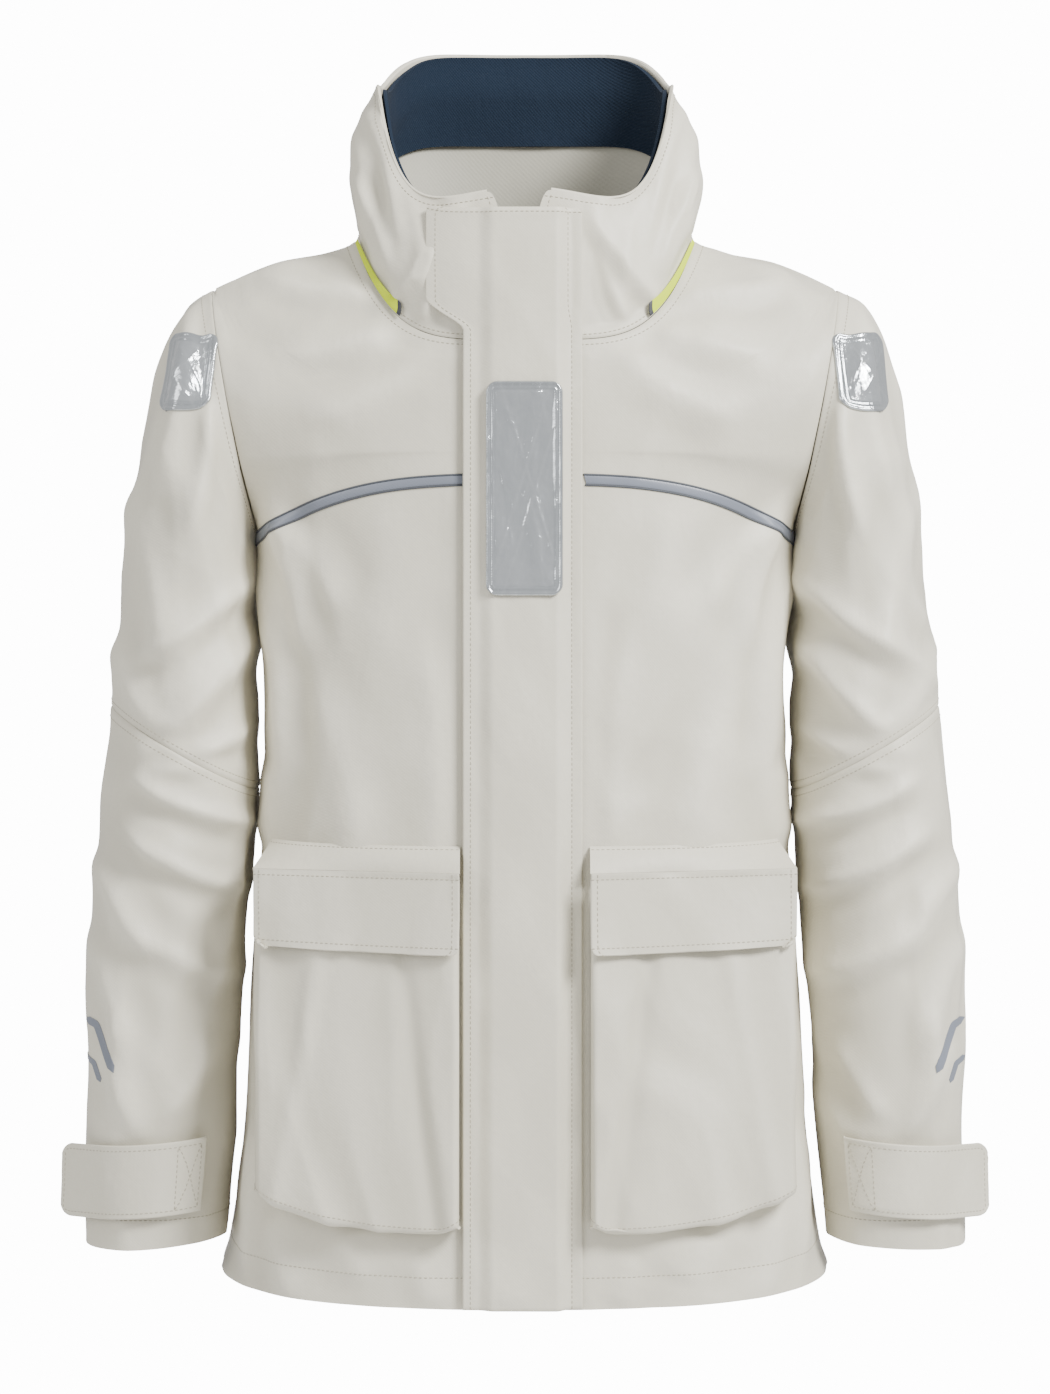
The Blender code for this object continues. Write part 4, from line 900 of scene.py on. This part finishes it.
FLASH_PARTS = (("flash", -13, -48, FLASH), ("flash_end", -48, -49.6, FLASH_END))
FLASH_WIDTH = 0.26
for side_name, side in SIDES:
    share = spaced(60, 0.4)[:, None]
    across = spaced(9, 0.2)[None]
    crown = 0.0008 * np.sqrt(np.clip(1 - (2 * across - 1) ** 2, 0, 1))
    for kind, start, stop, finish in FLASH_PARTS:
        turns = np.radians(start + (stop - start) * share)[::-1]
        wide = 0.45 + 0.85 * np.clip((-np.degrees(turns) - 13) / 36, 0, 1)
        heights = NECK + 0.02 + FLASH_WIDTH * across * wide
        strip = lifted(turns + 0 * heights, heights, 0.0028 + crown + 0 * turns)
        cloth(f"collar_{kind}_{side_name}", strip, finish, "shell", thick=0.0010, side=side,
              nodes=(f"collar_flash_{side_name}",) if kind == "flash" else ())


def on_front_cloth(side_name, level, lift):
    """The front cloth's own folded surface along a level, moved out along its normals."""
    points, normal = front_grids[side_name], front_normals[side_name]
    k = np.interp(level, front_levels, np.arange(len(front_levels)))
    i, t = int(k), k - int(k)
    at = points[:, i] * (1 - t) + points[:, i + 1] * t
    return at + (normal[:, i] * (1 - t) + normal[:, i + 1] * t) * lift


PIPING_HALF = 0.038
PIPING_CORD = 0.048
front_normals = {name: normals_of(points) for name, points in front_grids.items()}
for side_name, side in SIDES:
    rows = slice(int(np.argmax(on_front_cloth(side_name, ARMPIT, 0)[:, 0] > FLAP_SEWN_X + 0.001)), -3)
    across = np.linspace(-1, 1, 9)
    bulge = 0.0006 + 0.0004 * np.sqrt(1 - across ** 2)
    band = np.stack([on_front_cloth(side_name, ARMPIT + PIPING_HALF * k, up)[rows]
                     for k, up in zip(across, bulge)], 1)
    cloth(f"piping_band_{side_name}", band, TRIM, "shell", thick=0.0008, side=side,
          nodes=(f"chest_piping_{side_name}",))
    for k, shift in enumerate((-PIPING_CORD, PIPING_CORD)):
        path = on_front_cloth(side_name, ARMPIT + shift, 0.0004)[rows]
        tube(f"piping_cord_{side_name}_{k}", mirrored(path, side), 0.0008, DARK_CORD, "shell", 8)

# ---------------------------------------------------------------- sleeves

BACK_OF_SLEEVE = 0.8
ROUND = 144
AT_FRONT = ROUND // 4
SEAM_HALF = 0.0008
round_turns = np.linspace(0, 2 * np.pi, ROUND + 1)[:-1]
seam_at = elbow_stations(round_turns)
down_seam = np.array([ELBOW_RISE / SLEEVE_WIDTH, 0.0, -1.0])
down_seam /= np.linalg.norm(down_seam)


def sleeve_folds(points, seed, hold):
    """Creases on the front and weaker ones behind, with ripples, held still at the seams."""
    ahead = np.where(points[..., 1] < MID_Y, 1.0, BACK_OF_SLEEVE)
    height = (creased(points, SLEEVE_CREASES, CREASE_STRENGTH) * ahead + ripple(points, seed, 0.0022)) * hold
    return points + normals_of(points, True) * height[..., None], fold_painted_shading(height)


def sleeve_piece(name, side, first, last, seed, nodes, free_end):
    stations = first[:, None] + (last - first)[:, None] * spaced(150, 0.5)[None]
    points = sleeve(round_turns[:, None], stations)
    along = lengths(points, 1)
    sewn = along if free_end else np.minimum(along, along[:, -1:] - along)
    points, tone = sleeve_folds(points, seed, ease(sewn / 0.022))
    points = rolled(points, sewn, 0.0010, wrap=True)
    piece = cloth(name, points, SHELL, None, wrap=True, nodes=nodes, shade=seam_painted_shade(tone, sewn), side=side)
    return piece, points, along


def ring_line(points, along, target, side):
    """A line round the sleeve at a distance from its upper seam."""
    column = near(along[AT_FRONT], target)
    loop = np.concatenate([points[:, column], points[:1, column]])
    normal = normals_of(points, True)[:, column]
    return mirrored(loop, side), mirrored(np.concatenate([normal, normal[:1]]), side)


def with_shoulder(piece, side, side_name):
    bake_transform(piece)


def with_elbow(piece, side, side_name):
    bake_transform(piece)


def cuff_inside(side_name, side):
    """A gathered inner cuff that narrows up the sleeve."""
    stations = np.broadcast_to(np.linspace(8.15, CUFF - 0.03, 40)[None], (ROUND, 40))
    ring = sleeve(round_turns[:, None], stations)
    narrow = CLOTH + 0.0050 + 0.012 * ease((8.75 - stations) / 0.6)
    gathers = 0.0012 * np.sin(round_turns * 36)[:, None] * ease((8.7 - stations) / 0.3)
    centre = ring.mean(0, keepdims=True)
    reach = np.linalg.norm(ring - centre, axis=-1, keepdims=True)
    ring = centre + (ring - centre) * (1 - (narrow + gathers)[..., None] / reach)
    cloth(f"cuff_inside_{side_name}", ring, CUFF_INSIDE, f"forearm_{side_name}", thick=0.0012, wrap=True,
          nodes=(f"inner_cuff_{side_name}",), side=side)


SLEEVE_PARTS = (("upper", 0 * seam_at, seam_at - SEAM_HALF, 0, 0.006, False, with_shoulder),
                ("lower", seam_at + SEAM_HALF, 0 * seam_at + CUFF, 1, 0.022, True, with_elbow))
sleeve_grids = {}
for side_name, side in SIDES:
    seed = 31 if side > 0 else 41
    seams = []
    for kind, first, last, more, low_seam, free_end, attach in SLEEVE_PARTS:
        name = f"{kind}_sleeve_cloth_{side_name}"
        piece, points, along = sleeve_piece(name, side, first, last, seed + more,
                                            (f"{kind}_sleeve_{side_name}",), free_end)
        attach(piece, side, side_name)
        sleeve_grids[kind, side_name] = points
        lines = [ring_line(points, along, target, side)
                 for target in (SEAM_STITCH, along[AT_FRONT, -1] - low_seam)]
        seams.append((kind, lines, attach))
    for kind, lines, attach in seams:
        attach(stitches(f"{kind}_sleeve_stitches_{side_name}", lines, None), side, side_name)
    cuff_inside(side_name, side)

# ---------------------------------------------------------------- storm flap

FLAP_STEP_Z = -0.099
FLAP_STEP = 0.022
FLAP_ROOM = 0.0085
FLAP_BOTTOM_Z = HEM_Z + 0.001
FLAP_CORNER = 0.007
HEM_ROLL = 0.0011


def flap_lift(x):
    over_zip = 1 - ease((np.abs(x) - 0.023) / 0.012)
    edge = np.where(x > 0, 0.0012, 0.0046)
    return edge + (FLAP_ROOM - edge) * over_zip


def on_front(x, z, lift):
    """Points of the body's front at x and the front edge's height z, moved forward."""
    levels = level_at_front(z)
    angle = -np.where(x >= 0, angle_at_x(np.abs(x), levels), np.pi - angle_at_x(np.abs(x), levels))
    return body(angle, levels) - np.stack([0 * lift, lift, 0 * lift], -1)


def flap_free_x(z):
    return FLAP_FREE_X + (FLAP_COLLAR_X - FLAP_FREE_X) * ease((z - FLAP_STEP_Z) / FLAP_STEP)


flap_z = FLAP_BOTTOM_Z + (FLAP_TOP_Z - FLAP_BOTTOM_Z) * spaced(330, 0.3)[None]
corner = FLAP_CORNER * round_off(FLAP_TOP_Z - flap_z, FLAP_CORNER)
flap_low = flap_free_x(flap_z) + corner
flap_high = FLAP_SEWN_X - 0.0006 - corner * 0.5
flap_x = flap_low + (flap_high - flap_low) * spaced(70, 0.6)[:, None]
flap_points = on_front(flap_x, flap_z + 0 * flap_x, flap_lift(flap_x) + CLOTH)
edges = edge_distances(flap_points)
from_edge = np.min(edges, axis=0)
swell = ripple(flap_points, 51, 0.0009) + 0.0010 * hump((flap_x + 0.012) / 0.016) * np.sin(flap_z * 46 + 1.0)
swell = swell * ease(from_edge / 0.012) * (1 - hump((flap_z + 0.215) / 0.085) ** 2)
flap_points = flap_points + normals_of(flap_points) * np.clip(swell, -0.0007, 0.004)[..., None]
flap_points = rolled(flap_points, from_edge, HEM_ROLL, HEM_ROLL)
cloth("flap_cloth", flap_points, SHELL, "storm_flap", thick=0.0016, nodes=("storm_flap",),
      shade=hem_painted_shading(swell, from_edge, 0.0012))
flap_lines = [line_on(flap_points, row=near(edges[1][:, 120], 0.0075)),
              line_on(flap_points, row=near(edges[0][:, 120], 0.0060)),
              line_on(flap_points, column=near(edges[3][30], 0.0050))]
stitches("flap_stitches", flap_lines, "storm_flap")

# ---------------------------------------------------------------- silver patches


PATCH_MIDDLE = (-0.0005, -0.215)
PATCH_CORNER = 0.009


def patch(name, place, half, body_name, nodes, side=1, seed=61):
    """A film window in a welded border: place(u, v, lift) gives points, u and v in metres. The grid is
    drawn in to rounded corners; ridges run round the border and slant across the window."""
    wide, tall = half
    u, v = np.meshgrid(2 * spaced(90, 0.6) - 1, tall * (2 * spaced(150, 0.6) - 1), indexing="ij")
    room = wide - PATCH_CORNER * round_off(tall - np.abs(v), PATCH_CORNER)
    u = u * room
    edge = np.minimum(room - np.abs(u), tall - np.abs(v))
    border = 0.0007 * hump((edge - 0.0016) / 0.0011) + 0.0005 * hump((edge - 0.0052) / 0.0008)
    slant = v * 0.42 * wide / (0.5 * tall)
    ridges = sum(hump((u - way * slant - shift) / 0.0010) for way, shift in
                 ((1.0, -0.004), (-1.0, 0.006), (1.0, 0.008)))
    inside = ease((edge - 0.006) / 0.002)
    lift = 0.0010 + border + 0.0004 * np.clip(ridges, 0, 1) * inside * (np.abs(v) < tall * 0.62)
    lift = lift * np.sqrt(np.clip(edge / 0.0008, 0, 1)) + 0.00005
    lift = lift + (ripple(place(u, v, 0 * u) * 2.2, seed, 0.0006) + 0.0005) * inside
    # Painted highlight on the slanting ridges; darker towards the welded border.
    return cloth(name, place(u, v, lift), FILM, body_name, thick=0.0009, side=side, nodes=nodes,
                 shade=np.clip(0.35 + 0.5 * inside + 0.3 * np.clip(ridges, 0, 1), 0, 1))


def on_flap(u, v, lift):
    x, z = PATCH_MIDDLE[0] + u, PATCH_MIDDLE[1] + v
    return on_front(x, z, FLAP_ROOM + CLOTH + 0.0011 + lift)


patch("flap_film", on_flap, (0.0285, 0.079), "storm_flap", ("flap_patch",))

# ---------------------------------------------------------------- shoulder patches and chevrons


def on_sleeve(side_name, turn, station, lift):
    """The upper sleeve's own folded cloth, read between its grid lines, and moved out."""
    points = sleeve_grids["upper", side_name]
    i = turn / (2 * np.pi) * ROUND
    k = np.clip(station / (seam_at[np.round(i).astype(int) % ROUND] - SEAM_HALF), 0, 1)
    j = np.interp(k, spaced(points.shape[1], 0.5), np.arange(points.shape[1]))
    out = read_grid(normals_of(points, True), i, j, True)
    out /= np.linalg.norm(out, axis=-1, keepdims=True)
    return read_grid(points, i, j, True) + out * lift[..., None]


def cubic_terms(x, z):
    return np.stack([x ** i * z ** j for i in range(4) for j in range(4 - i)], -1)


def shoulder_map():
    """Cubic fits of turn and station to x and z over the front of the cap, from the sleeve's own rings."""
    turn, station = np.meshgrid(np.radians(np.linspace(8, 125, 60)), np.linspace(0.4, 3.0, 60), indexing="ij")
    points = sleeve(turn, station)
    x, z = (points[..., 0] - 0.25) / 0.05, (points[..., 2] + 0.13) / 0.05
    inside = (np.abs(x) < 0.85) & (np.abs(z) < 1.0)
    terms = cubic_terms(x[inside], z[inside])
    return [np.linalg.lstsq(terms, values[inside], rcond=None)[0] for values in (turn, station)]


TURN_FIT, STATION_FIT = shoulder_map()


def shoulder_film(side_name, side):
    def on_shoulder(u, v, lift):
        x = 0.2520 + u * (1 - 3.0 * v) - 0.10 * v
        terms = cubic_terms((x - 0.25) / 0.05, (v + 0.0025) / 0.05)
        return on_sleeve(side_name, terms @ TURN_FIT, terms @ STATION_FIT, lift + 0.0004)

    film = patch(f"shoulder_film_{side_name}", on_shoulder, (0.0190, 0.0290), None,
                 (f"shoulder_patch_{side_name}",), side, 65)
    with_shoulder(film, side, side_name)


for side_name, side in SIDES:
    shoulder_film(side_name, side)


CHEVRONS = (([(0.3385, -0.620), (0.3270, -0.6225), (0.3110, -0.6560)], 0.0031),
            ([(0.3385, -0.6490), (0.3290, -0.6520), (0.3235, -0.6660)], 0.0023))
BAR_STEPS = 60


def bar_spots(corners, half):
    """A printed bar's x and z in rows across a softened centre line, narrowing at its ends."""
    line = np.asarray(corners)
    run = np.concatenate([[0], np.cumsum(np.hypot(*np.diff(line, axis=0).T))])
    at = np.linspace(0, run[-1], BAR_STEPS)
    kernel = np.hanning(9) / np.hanning(9).sum()
    x, z = (np.convolve(np.pad(np.interp(at, run, line[:, k]), 4, mode="edge"), kernel, "valid")
            for k in (0, 1))
    across = np.stack([-np.gradient(z), np.gradient(x)], -1)
    across /= np.linalg.norm(across, axis=1, keepdims=True)
    step = np.arange(BAR_STEPS)
    width = half * np.clip(np.minimum(step, BAR_STEPS - 1 - step) / 6, 0.12, 1)
    share = np.linspace(-1, 1, 9)[:, None]
    return np.stack([x, z], -1)[:, None] + across[:, None] * width[:, None, None] * share


def front_of_sleeve(grid, spots, lift):
    """Points of the lower sleeve's front at x and z, on the plane of the nearest grid point's normal."""
    half = len(grid) // 2
    base, out = grid[:half].reshape(-1, 3), normals_of(grid, True)[:half].reshape(-1, 3)
    flat = spots.reshape(-1, 2)
    nearest = np.argmin(((flat[:, None] - base[None][..., [0, 2]]) ** 2).sum(-1), 1)
    base, out = base[nearest], out[nearest]
    shift = flat - base[:, [0, 2]]
    y = base[:, 1] - (shift * out[:, [0, 2]]).sum(1) / np.minimum(out[:, 1], -0.25)
    points = np.stack([flat[:, 0], y, flat[:, 1]], -1) + out * lift
    return points.reshape(*spots.shape[:2], 3)


for side_name, side in SIDES:
    for k, (corners, half) in enumerate(CHEVRONS):
        bar = front_of_sleeve(sleeve_grids["lower", side_name], bar_spots(corners, half), 0.0005)
        if normals_of(bar)[BAR_STEPS // 2, 4, 1] > 0:
            bar = bar[:, ::-1]
        piece = cloth(f"chevron_{side_name}_{k}", bar, TRIM, None, thick=0.0005, side=side)
        with_elbow(piece, side, side_name)

# ---------------------------------------------------------------- pockets

POCKET_SLOPE = 0.260
POCKET_FACE = 0.0290
POCKET_CORNER_RISE = 0.024
MOUTH_DROP = 0.034
HEADER_RISE = 0.018
FLAP_OUT = 0.0046
HINGE_Z = POCKET_TOP_Z
BAG_GAP = 0.0025


def pocket_face(x, z, out):
    fuller = 0.006 * (HINGE_Z - z) / (HINGE_Z - POCKET_LOW_Z)
    y = front_y(z) - POCKET_FACE + POCKET_SLOPE * x - fuller - out
    return np.stack([x + 0 * z, y + 0 * x, z + 0 * x], -1)


def body_front_y(x, z):
    """How far forward the shell is at each x and z, read from a table of columns of x and heights."""
    levels = np.linspace(HEM, RIB, 300)
    columns = np.linspace(POCKET_IN_X - 0.02, POCKET_OUT_X + 0.005, 80)
    heights = np.linspace(-0.80, -0.42, 200)
    lines = [body(-angle_at_x(column, levels), levels) for column in columns]
    table = np.array([np.interp(heights, line[:, 2], line[:, 1]) for line in lines])[..., None]
    i, j = np.interp(x, columns, np.arange(80)), np.interp(z, heights, np.arange(200))
    return read_grid(table, i, j)[..., 0]


def walled(count, corner, both_ends):
    """Across a bellows pocket: share of the width and share of the depth, from wall to wall or to
    the open mouth."""
    quarter = np.linspace(0, np.pi / 2, 9)
    up = np.concatenate([np.linspace(1, 0.30, 10), 0.30 * (1 - np.sin(quarter[1:]))])
    in_from = np.concatenate([np.zeros(10), corner - corner * np.cos(quarter[1:])])
    if both_ends:
        middle = np.linspace(corner, 1 - corner, count)[1:-1]
        return (np.concatenate([in_from, middle, 1 - in_from[::-1]]),
                np.concatenate([up, 0 * middle, up[::-1]]))
    return (np.concatenate([in_from, np.linspace(corner, 1, count)[1:]]),
            np.concatenate([up, np.zeros(count - 1)]))


def bag(side_name, side):
    across, deep_u = walled(80, 0.035, True)
    upward, deep_v = walled(90, 0.025, False)
    x = POCKET_IN_X + 0.0005 + (POCKET_OUT_X - POCKET_IN_X - 0.001) * across[:, None]
    share = (x - POCKET_IN_X) / (POCKET_OUT_X - POCKET_IN_X)
    bottom = POCKET_LOW_Z + POCKET_CORNER_RISE * share ** 3 + 0.006 * hump(share / 0.06)
    top = HINGE_Z - MOUTH_DROP + (MOUTH_DROP - 0.0032) * deep_u[:, None] ** 2
    z = bottom + (top - bottom) * upward[None]
    depth = 1 - (1 - deep_u[:, None]) * (1 - deep_v[None])
    face = pocket_face(x + 0 * z, z, 0.0004)
    back = body_front_y(x + 0 * z, z) - BAG_GAP
    points = face.copy()
    points[..., 1] = face[..., 1] * (1 - depth) + back * depth
    loose = ease((1 - depth) * 1.3 - 0.3) * ease((top - z) / 0.02)
    swell = (ripple(points, 71 if side > 0 else 72, 0.0018) + 0.0035 * hump((share - 0.55) / 0.22)
             * hump((z - bottom - 0.09) / 0.06) - 0.003 * hump((share - 0.12 - 0.8 * (z - bottom)) / 0.05)
             + 0.002 * hump((share - 0.9 + 1.2 * (z - bottom)) / 0.05)) * loose
    points = points + normals_of(points) * swell[..., None]
    # Painted light and shade: lighter on the swells, darker in their hollows and towards the bellows walls.
    tone = np.clip(0.5 + swell / 0.006 - 0.25 * depth, 0, 1)
    cloth(f"pocket_cloth_{side_name}", points, SHELL, "shell", thick=0.0012, side=side, shade=tone,
          nodes=(f"pocket_bag_{side_name}",))
    thread_lines.append(line_on(points, column=near(z[50], bottom[50, 0] + 0.006), side=side))
    mouth = line_on(points, column=near(z[50], top[50, 0] - 0.005), side=side)
    thread_lines.append(tuple(line[18:80] for line in mouth))


def pocket_flap(side_name, side):
    share = spaced(110, 0.6)[::-1, None]
    down = spaced(56, 0.6)[None]
    x = POCKET_IN_X + 0.0004 + (POCKET_OUT_X - POCKET_IN_X - 0.0008) * share
    drop = (HINGE_Z - POCKET_FLAP_LOW_Z) * (1 - 0.05 * share ** 2) * (1 - 0.05 * hump((share - 1) / 0.02))
    x = x + 0.006 * round_off(1 - down, 0.10) * (1 - 2 * share)
    z = HINGE_Z - drop * down
    points = pocket_face(x + 0 * z, z, FLAP_OUT + CLOTH)
    edges = edge_distances(points)
    free = np.minimum(np.minimum(edges[0], edges[1]), edges[3])
    swell = ripple(points, 81 if side > 0 else 82, 0.0012) + 0.0018 * np.sin(share * 9.0 + 1.3) * down ** 2
    swell = np.clip(swell, -0.0010, 0.004) * ease(edges[2] / 0.006)
    points = points + normals_of(points) * swell[..., None]
    points = rolled(points, free, 0.0010, 0.0010)
    body_name = f"pocket_flap_{side_name}"
    cloth(f"pocket_flap_cloth_{side_name}", points, SHELL, body_name, side=side, shade=hem_painted_shading(swell, free),
          nodes=(f"pocket_flap_{side_name}",))
    edges = edge_distances(points)
    lines = [line_on(points, row=near(edges[0][:, 30], 0.0055), side=side),
             line_on(points, row=near(edges[0][:, 30], edges[0][-1, 30] - 0.0055), side=side),
             line_on(points, column=near(edges[2][50], edges[2][50, -1] - 0.0060), side=side),
             line_on(points, column=near(edges[2][50], 0.0045), side=side)]
    stitches(f"pocket_flap_stitches_{side_name}", lines, body_name)


def header(side_name, side):
    """The cloth that bridges from the body to the top of the pocket's face."""
    share = spaced(90, 0.4)[:, None]
    rise = spaced(26, 0.4)[None]
    x = POCKET_IN_X + (POCKET_OUT_X - POCKET_IN_X) * share - 0.012 * share * rise
    z = HINGE_Z - 0.0005 + (HEADER_RISE + 0.0005) * rise
    low = pocket_face(x + 0 * z, HINGE_Z - 0.0005 + 0 * z, -0.0008)[..., 1]
    high = body_front_y(x + 0 * z, HINGE_Z + HEADER_RISE + 0 * z) - 0.0012
    bend = 0.0022 * np.sin(np.pi * rise) * (1 - share * 0.5)
    points = np.stack([x + 0 * z, low + (high - low) * rise - bend, z + 0 * x], -1)
    cloth(f"pocket_header_cloth_{side_name}", points, SHELL, "shell", thick=0.0010, side=side,
          nodes=(f"pocket_header_{side_name}",), shade=np.full(points.shape[:2], 0.55))
    thread_lines.append(line_on(points, column=21, side=side))


for side_name, side in SIDES:
    bag(side_name, side)
    pocket_flap(side_name, side)
    header(side_name, side)

# ---------------------------------------------------------------- cuff tabs

TAB_TOP_Z = high("cuff_tab_left")[2]
TAB_HEIGHT = 0.057
TAB_TAIL = 0.045
TAB_START, TAB_LEAVE = np.radians(128), np.radians(50)
TAB_ARC = 0.70
TAB_LIFT = 0.0046
TAB_CORNER = 0.010
TAB_LENGTH = 0.125
TAB_STITCH = 0.0050
TAB_BOX = 0.024


def tab_station(z):
    stations = np.linspace(5, CUFF, 300)
    middle = (smooth(SLEEVE_IN[:, 1], stations) + smooth(SLEEVE_OUT[:, 1], stations)) / 2
    return np.interp(-z, -middle, stations)


def tab_points(share, down, out):
    """The tab follows the cuff from its sewn end and leaves it on a straight tail."""
    turn = TAB_START + (TAB_LEAVE - TAB_START) * np.clip(share / TAB_ARC, 0, 1)
    z = TAB_TOP_Z - TAB_HEIGHT * down - 0.010 * share
    station = tab_station(z)

    def moved(at):
        points = sleeve(at, station)
        away = points - sleeve_middle(station)
        away[..., 2] = 0
        return points + away / np.linalg.norm(away, axis=-1, keepdims=True) * np.asarray(out)[..., None]

    points = moved(turn)
    ahead = moved(turn - 0.01) - points
    ahead[..., 2] = 0
    ahead /= np.linalg.norm(ahead, axis=-1, keepdims=True)
    points[..., 2] = z
    return points + ahead * (np.clip(share - TAB_ARC, 0, 1) / (1 - TAB_ARC) * TAB_TAIL)[..., None]


def sleeve_middle(station):
    ends = [sleeve(np.full(np.shape(station), turn), station) for turn in (0.0, np.pi)]
    return (ends[0] + ends[1]) / 2


def cuff_tab(side_name, side):
    share, down = np.meshgrid(spaced(130, 0.6), spaced(56, 0.6)[::-1], indexing="ij")
    pull = TAB_CORNER * round_off((1 - share) * TAB_LENGTH, TAB_CORNER)
    down = 0.5 + (down - 0.5) * (1 - 2 * pull / TAB_HEIGHT)
    tab = tab_points(share, down, TAB_LIFT + CLOTH + 0 * share)
    from_edge = np.min(edge_distances(tab), axis=0)
    swell = ripple(tab, 91 if side > 0 else 92, 0.0010) + 0.0014 * np.sin(share * 8 + 0.7) * (down - 0.3)
    swell = swell * ease(from_edge / 0.008)
    tab = tab + normals_of(tab) * np.clip(swell, -0.0006, 0.004)[..., None]
    tab = rolled(tab, from_edge, HEM_ROLL, HEM_ROLL)
    body_name = f"cuff_tab_{side_name}"
    cloth(f"cuff_tab_cloth_{side_name}", tab, SHELL, body_name, thick=0.0016, side=side, nodes=(body_name,),
          shade=hem_painted_shading(swell, from_edge))
    cuff_tab_stitches(tab, side_name, side)


def cuff_tab_stitches(tab, side_name, side):
    """Stitches round the tab, and a crossed box at its sewn end."""
    left, right, below, above = edge_distances(tab)
    inner, outer = near(left[:, 28], TAB_STITCH), near(right[:, 28], TAB_STITCH)
    bottom, top = near(below[60], TAB_STITCH), near(above[60], TAB_STITCH)
    box = near(left[:, 28], TAB_BOX)
    steps = np.arange(box - inner + 1)
    spots = [(row, slice(bottom, top)) for row in (inner, outer, box)]
    spots += [(slice(inner, outer), column) for column in (bottom, top)]
    spots += [(inner + steps, np.round(first + (last - first) * steps / steps[-1]).astype(int))
              for first, last in ((bottom, top), (top, bottom))]
    normal = normals_of(tab)
    lines = [(mirrored(tab[spot], side), mirrored(normal[spot], side)) for spot in spots]
    stitches(f"cuff_tab_stitches_{side_name}", lines, f"cuff_tab_{side_name}")


for side_name, side in SIDES:
    cuff_tab(side_name, side)

# ---------------------------------------------------------------- the plainer nodes

finishes = {"shell_cloth": SHELL, "lining_cloth": LINING, "navy_fleece": FLEECE, "flash_yellow": FLASH,
            "silver_film": FILM, "reflective_trim": TRIM, "hook_and_loop": HOOKS, "zip_plastic": PLASTIC,
            "zip_metal": METAL, "cuff_elastic": CUFF_INSIDE}
for part in frame["record"]["subparts"]:
    plain = frame["nodes"][part["node"]]
    plain.data.materials.clear()
    plain.data.materials.append(finishes[part["material_slot"]])

# ---------------------------------------------------------------- stage, light and camera

stitches("shell_stitches", thread_lines, "shell")

WHITE = (1, 1, 1, 1)
FLOOR_CORNERS = [(-1.2, -1.2, -1.3), (1.2, -1.2, -1.3), (1.2, 1.0, -1.3), (-1.2, 1.0, -1.3)]
LOOK_AT = (0, MID_Y, -0.38)
CAMERA_PLACE = (0, MID_Y - 2.6, -0.2456)
CAMERA_TARGET = (0, MID_Y, -0.375)

floor_mesh = bpy.data.meshes.new("floor")
floor_mesh.from_pydata(FLOOR_CORNERS, [], [(0, 1, 2, 3)])
floor = bpy.data.objects.new("floor", floor_mesh)
pale = bpy.data.materials.new("Pale floor")
pale.use_nodes = True
pale.node_tree.nodes["Principled BSDF"].inputs["Base Color"].default_value = (0.9, 0.9, 0.9, 1)
floor_mesh.materials.append(pale)
bpy.context.scene.collection.objects.link(floor)

world = bpy.data.worlds.new("White studio")
world.use_nodes = True
sky = world.node_tree
seen = node(sky, "ShaderNodeLightPath").outputs["Is Camera Ray"]
lit = sky.nodes["Background"]
lit.inputs["Color"].default_value = WHITE
lit.inputs["Strength"].default_value = 0.70
plain_white = node(sky, "ShaderNodeBackground", {"Color": WHITE, "Strength": 14.0})
choose = node(sky, "ShaderNodeMixShader", {0: seen, 1: lit.outputs[0], 2: plain_white.outputs[0]})
sky.links.new(choose.outputs[0], sky.nodes["World Output"].inputs["Surface"])
bpy.context.scene.world = world


def aimed(name, data, place, target):
    """A light or a camera, turned so that it looks at its target."""
    made = bpy.data.objects.new(name, data)
    made.location = place
    made.rotation_euler = (Vector(target) - Vector(place)).to_track_quat("-Z", "Y").to_euler()
    bpy.context.scene.collection.objects.link(made)
    return made


for name, place, size, power in (("key", (1.9, -1.9, 1.5), 1.0, 205), ("fill", (-2.2, -1.6, 0.6), 1.5, 30)):
    light = bpy.data.lights.new(name, "AREA")
    light.size = size
    light.energy = power
    aimed(name, light, place, LOOK_AT)

camera_data = bpy.data.cameras.new("camera")
camera_data.lens = 86.75
camera_data.sensor_width = 36
bpy.context.scene.camera = aimed("camera", camera_data, CAMERA_PLACE, CAMERA_TARGET)
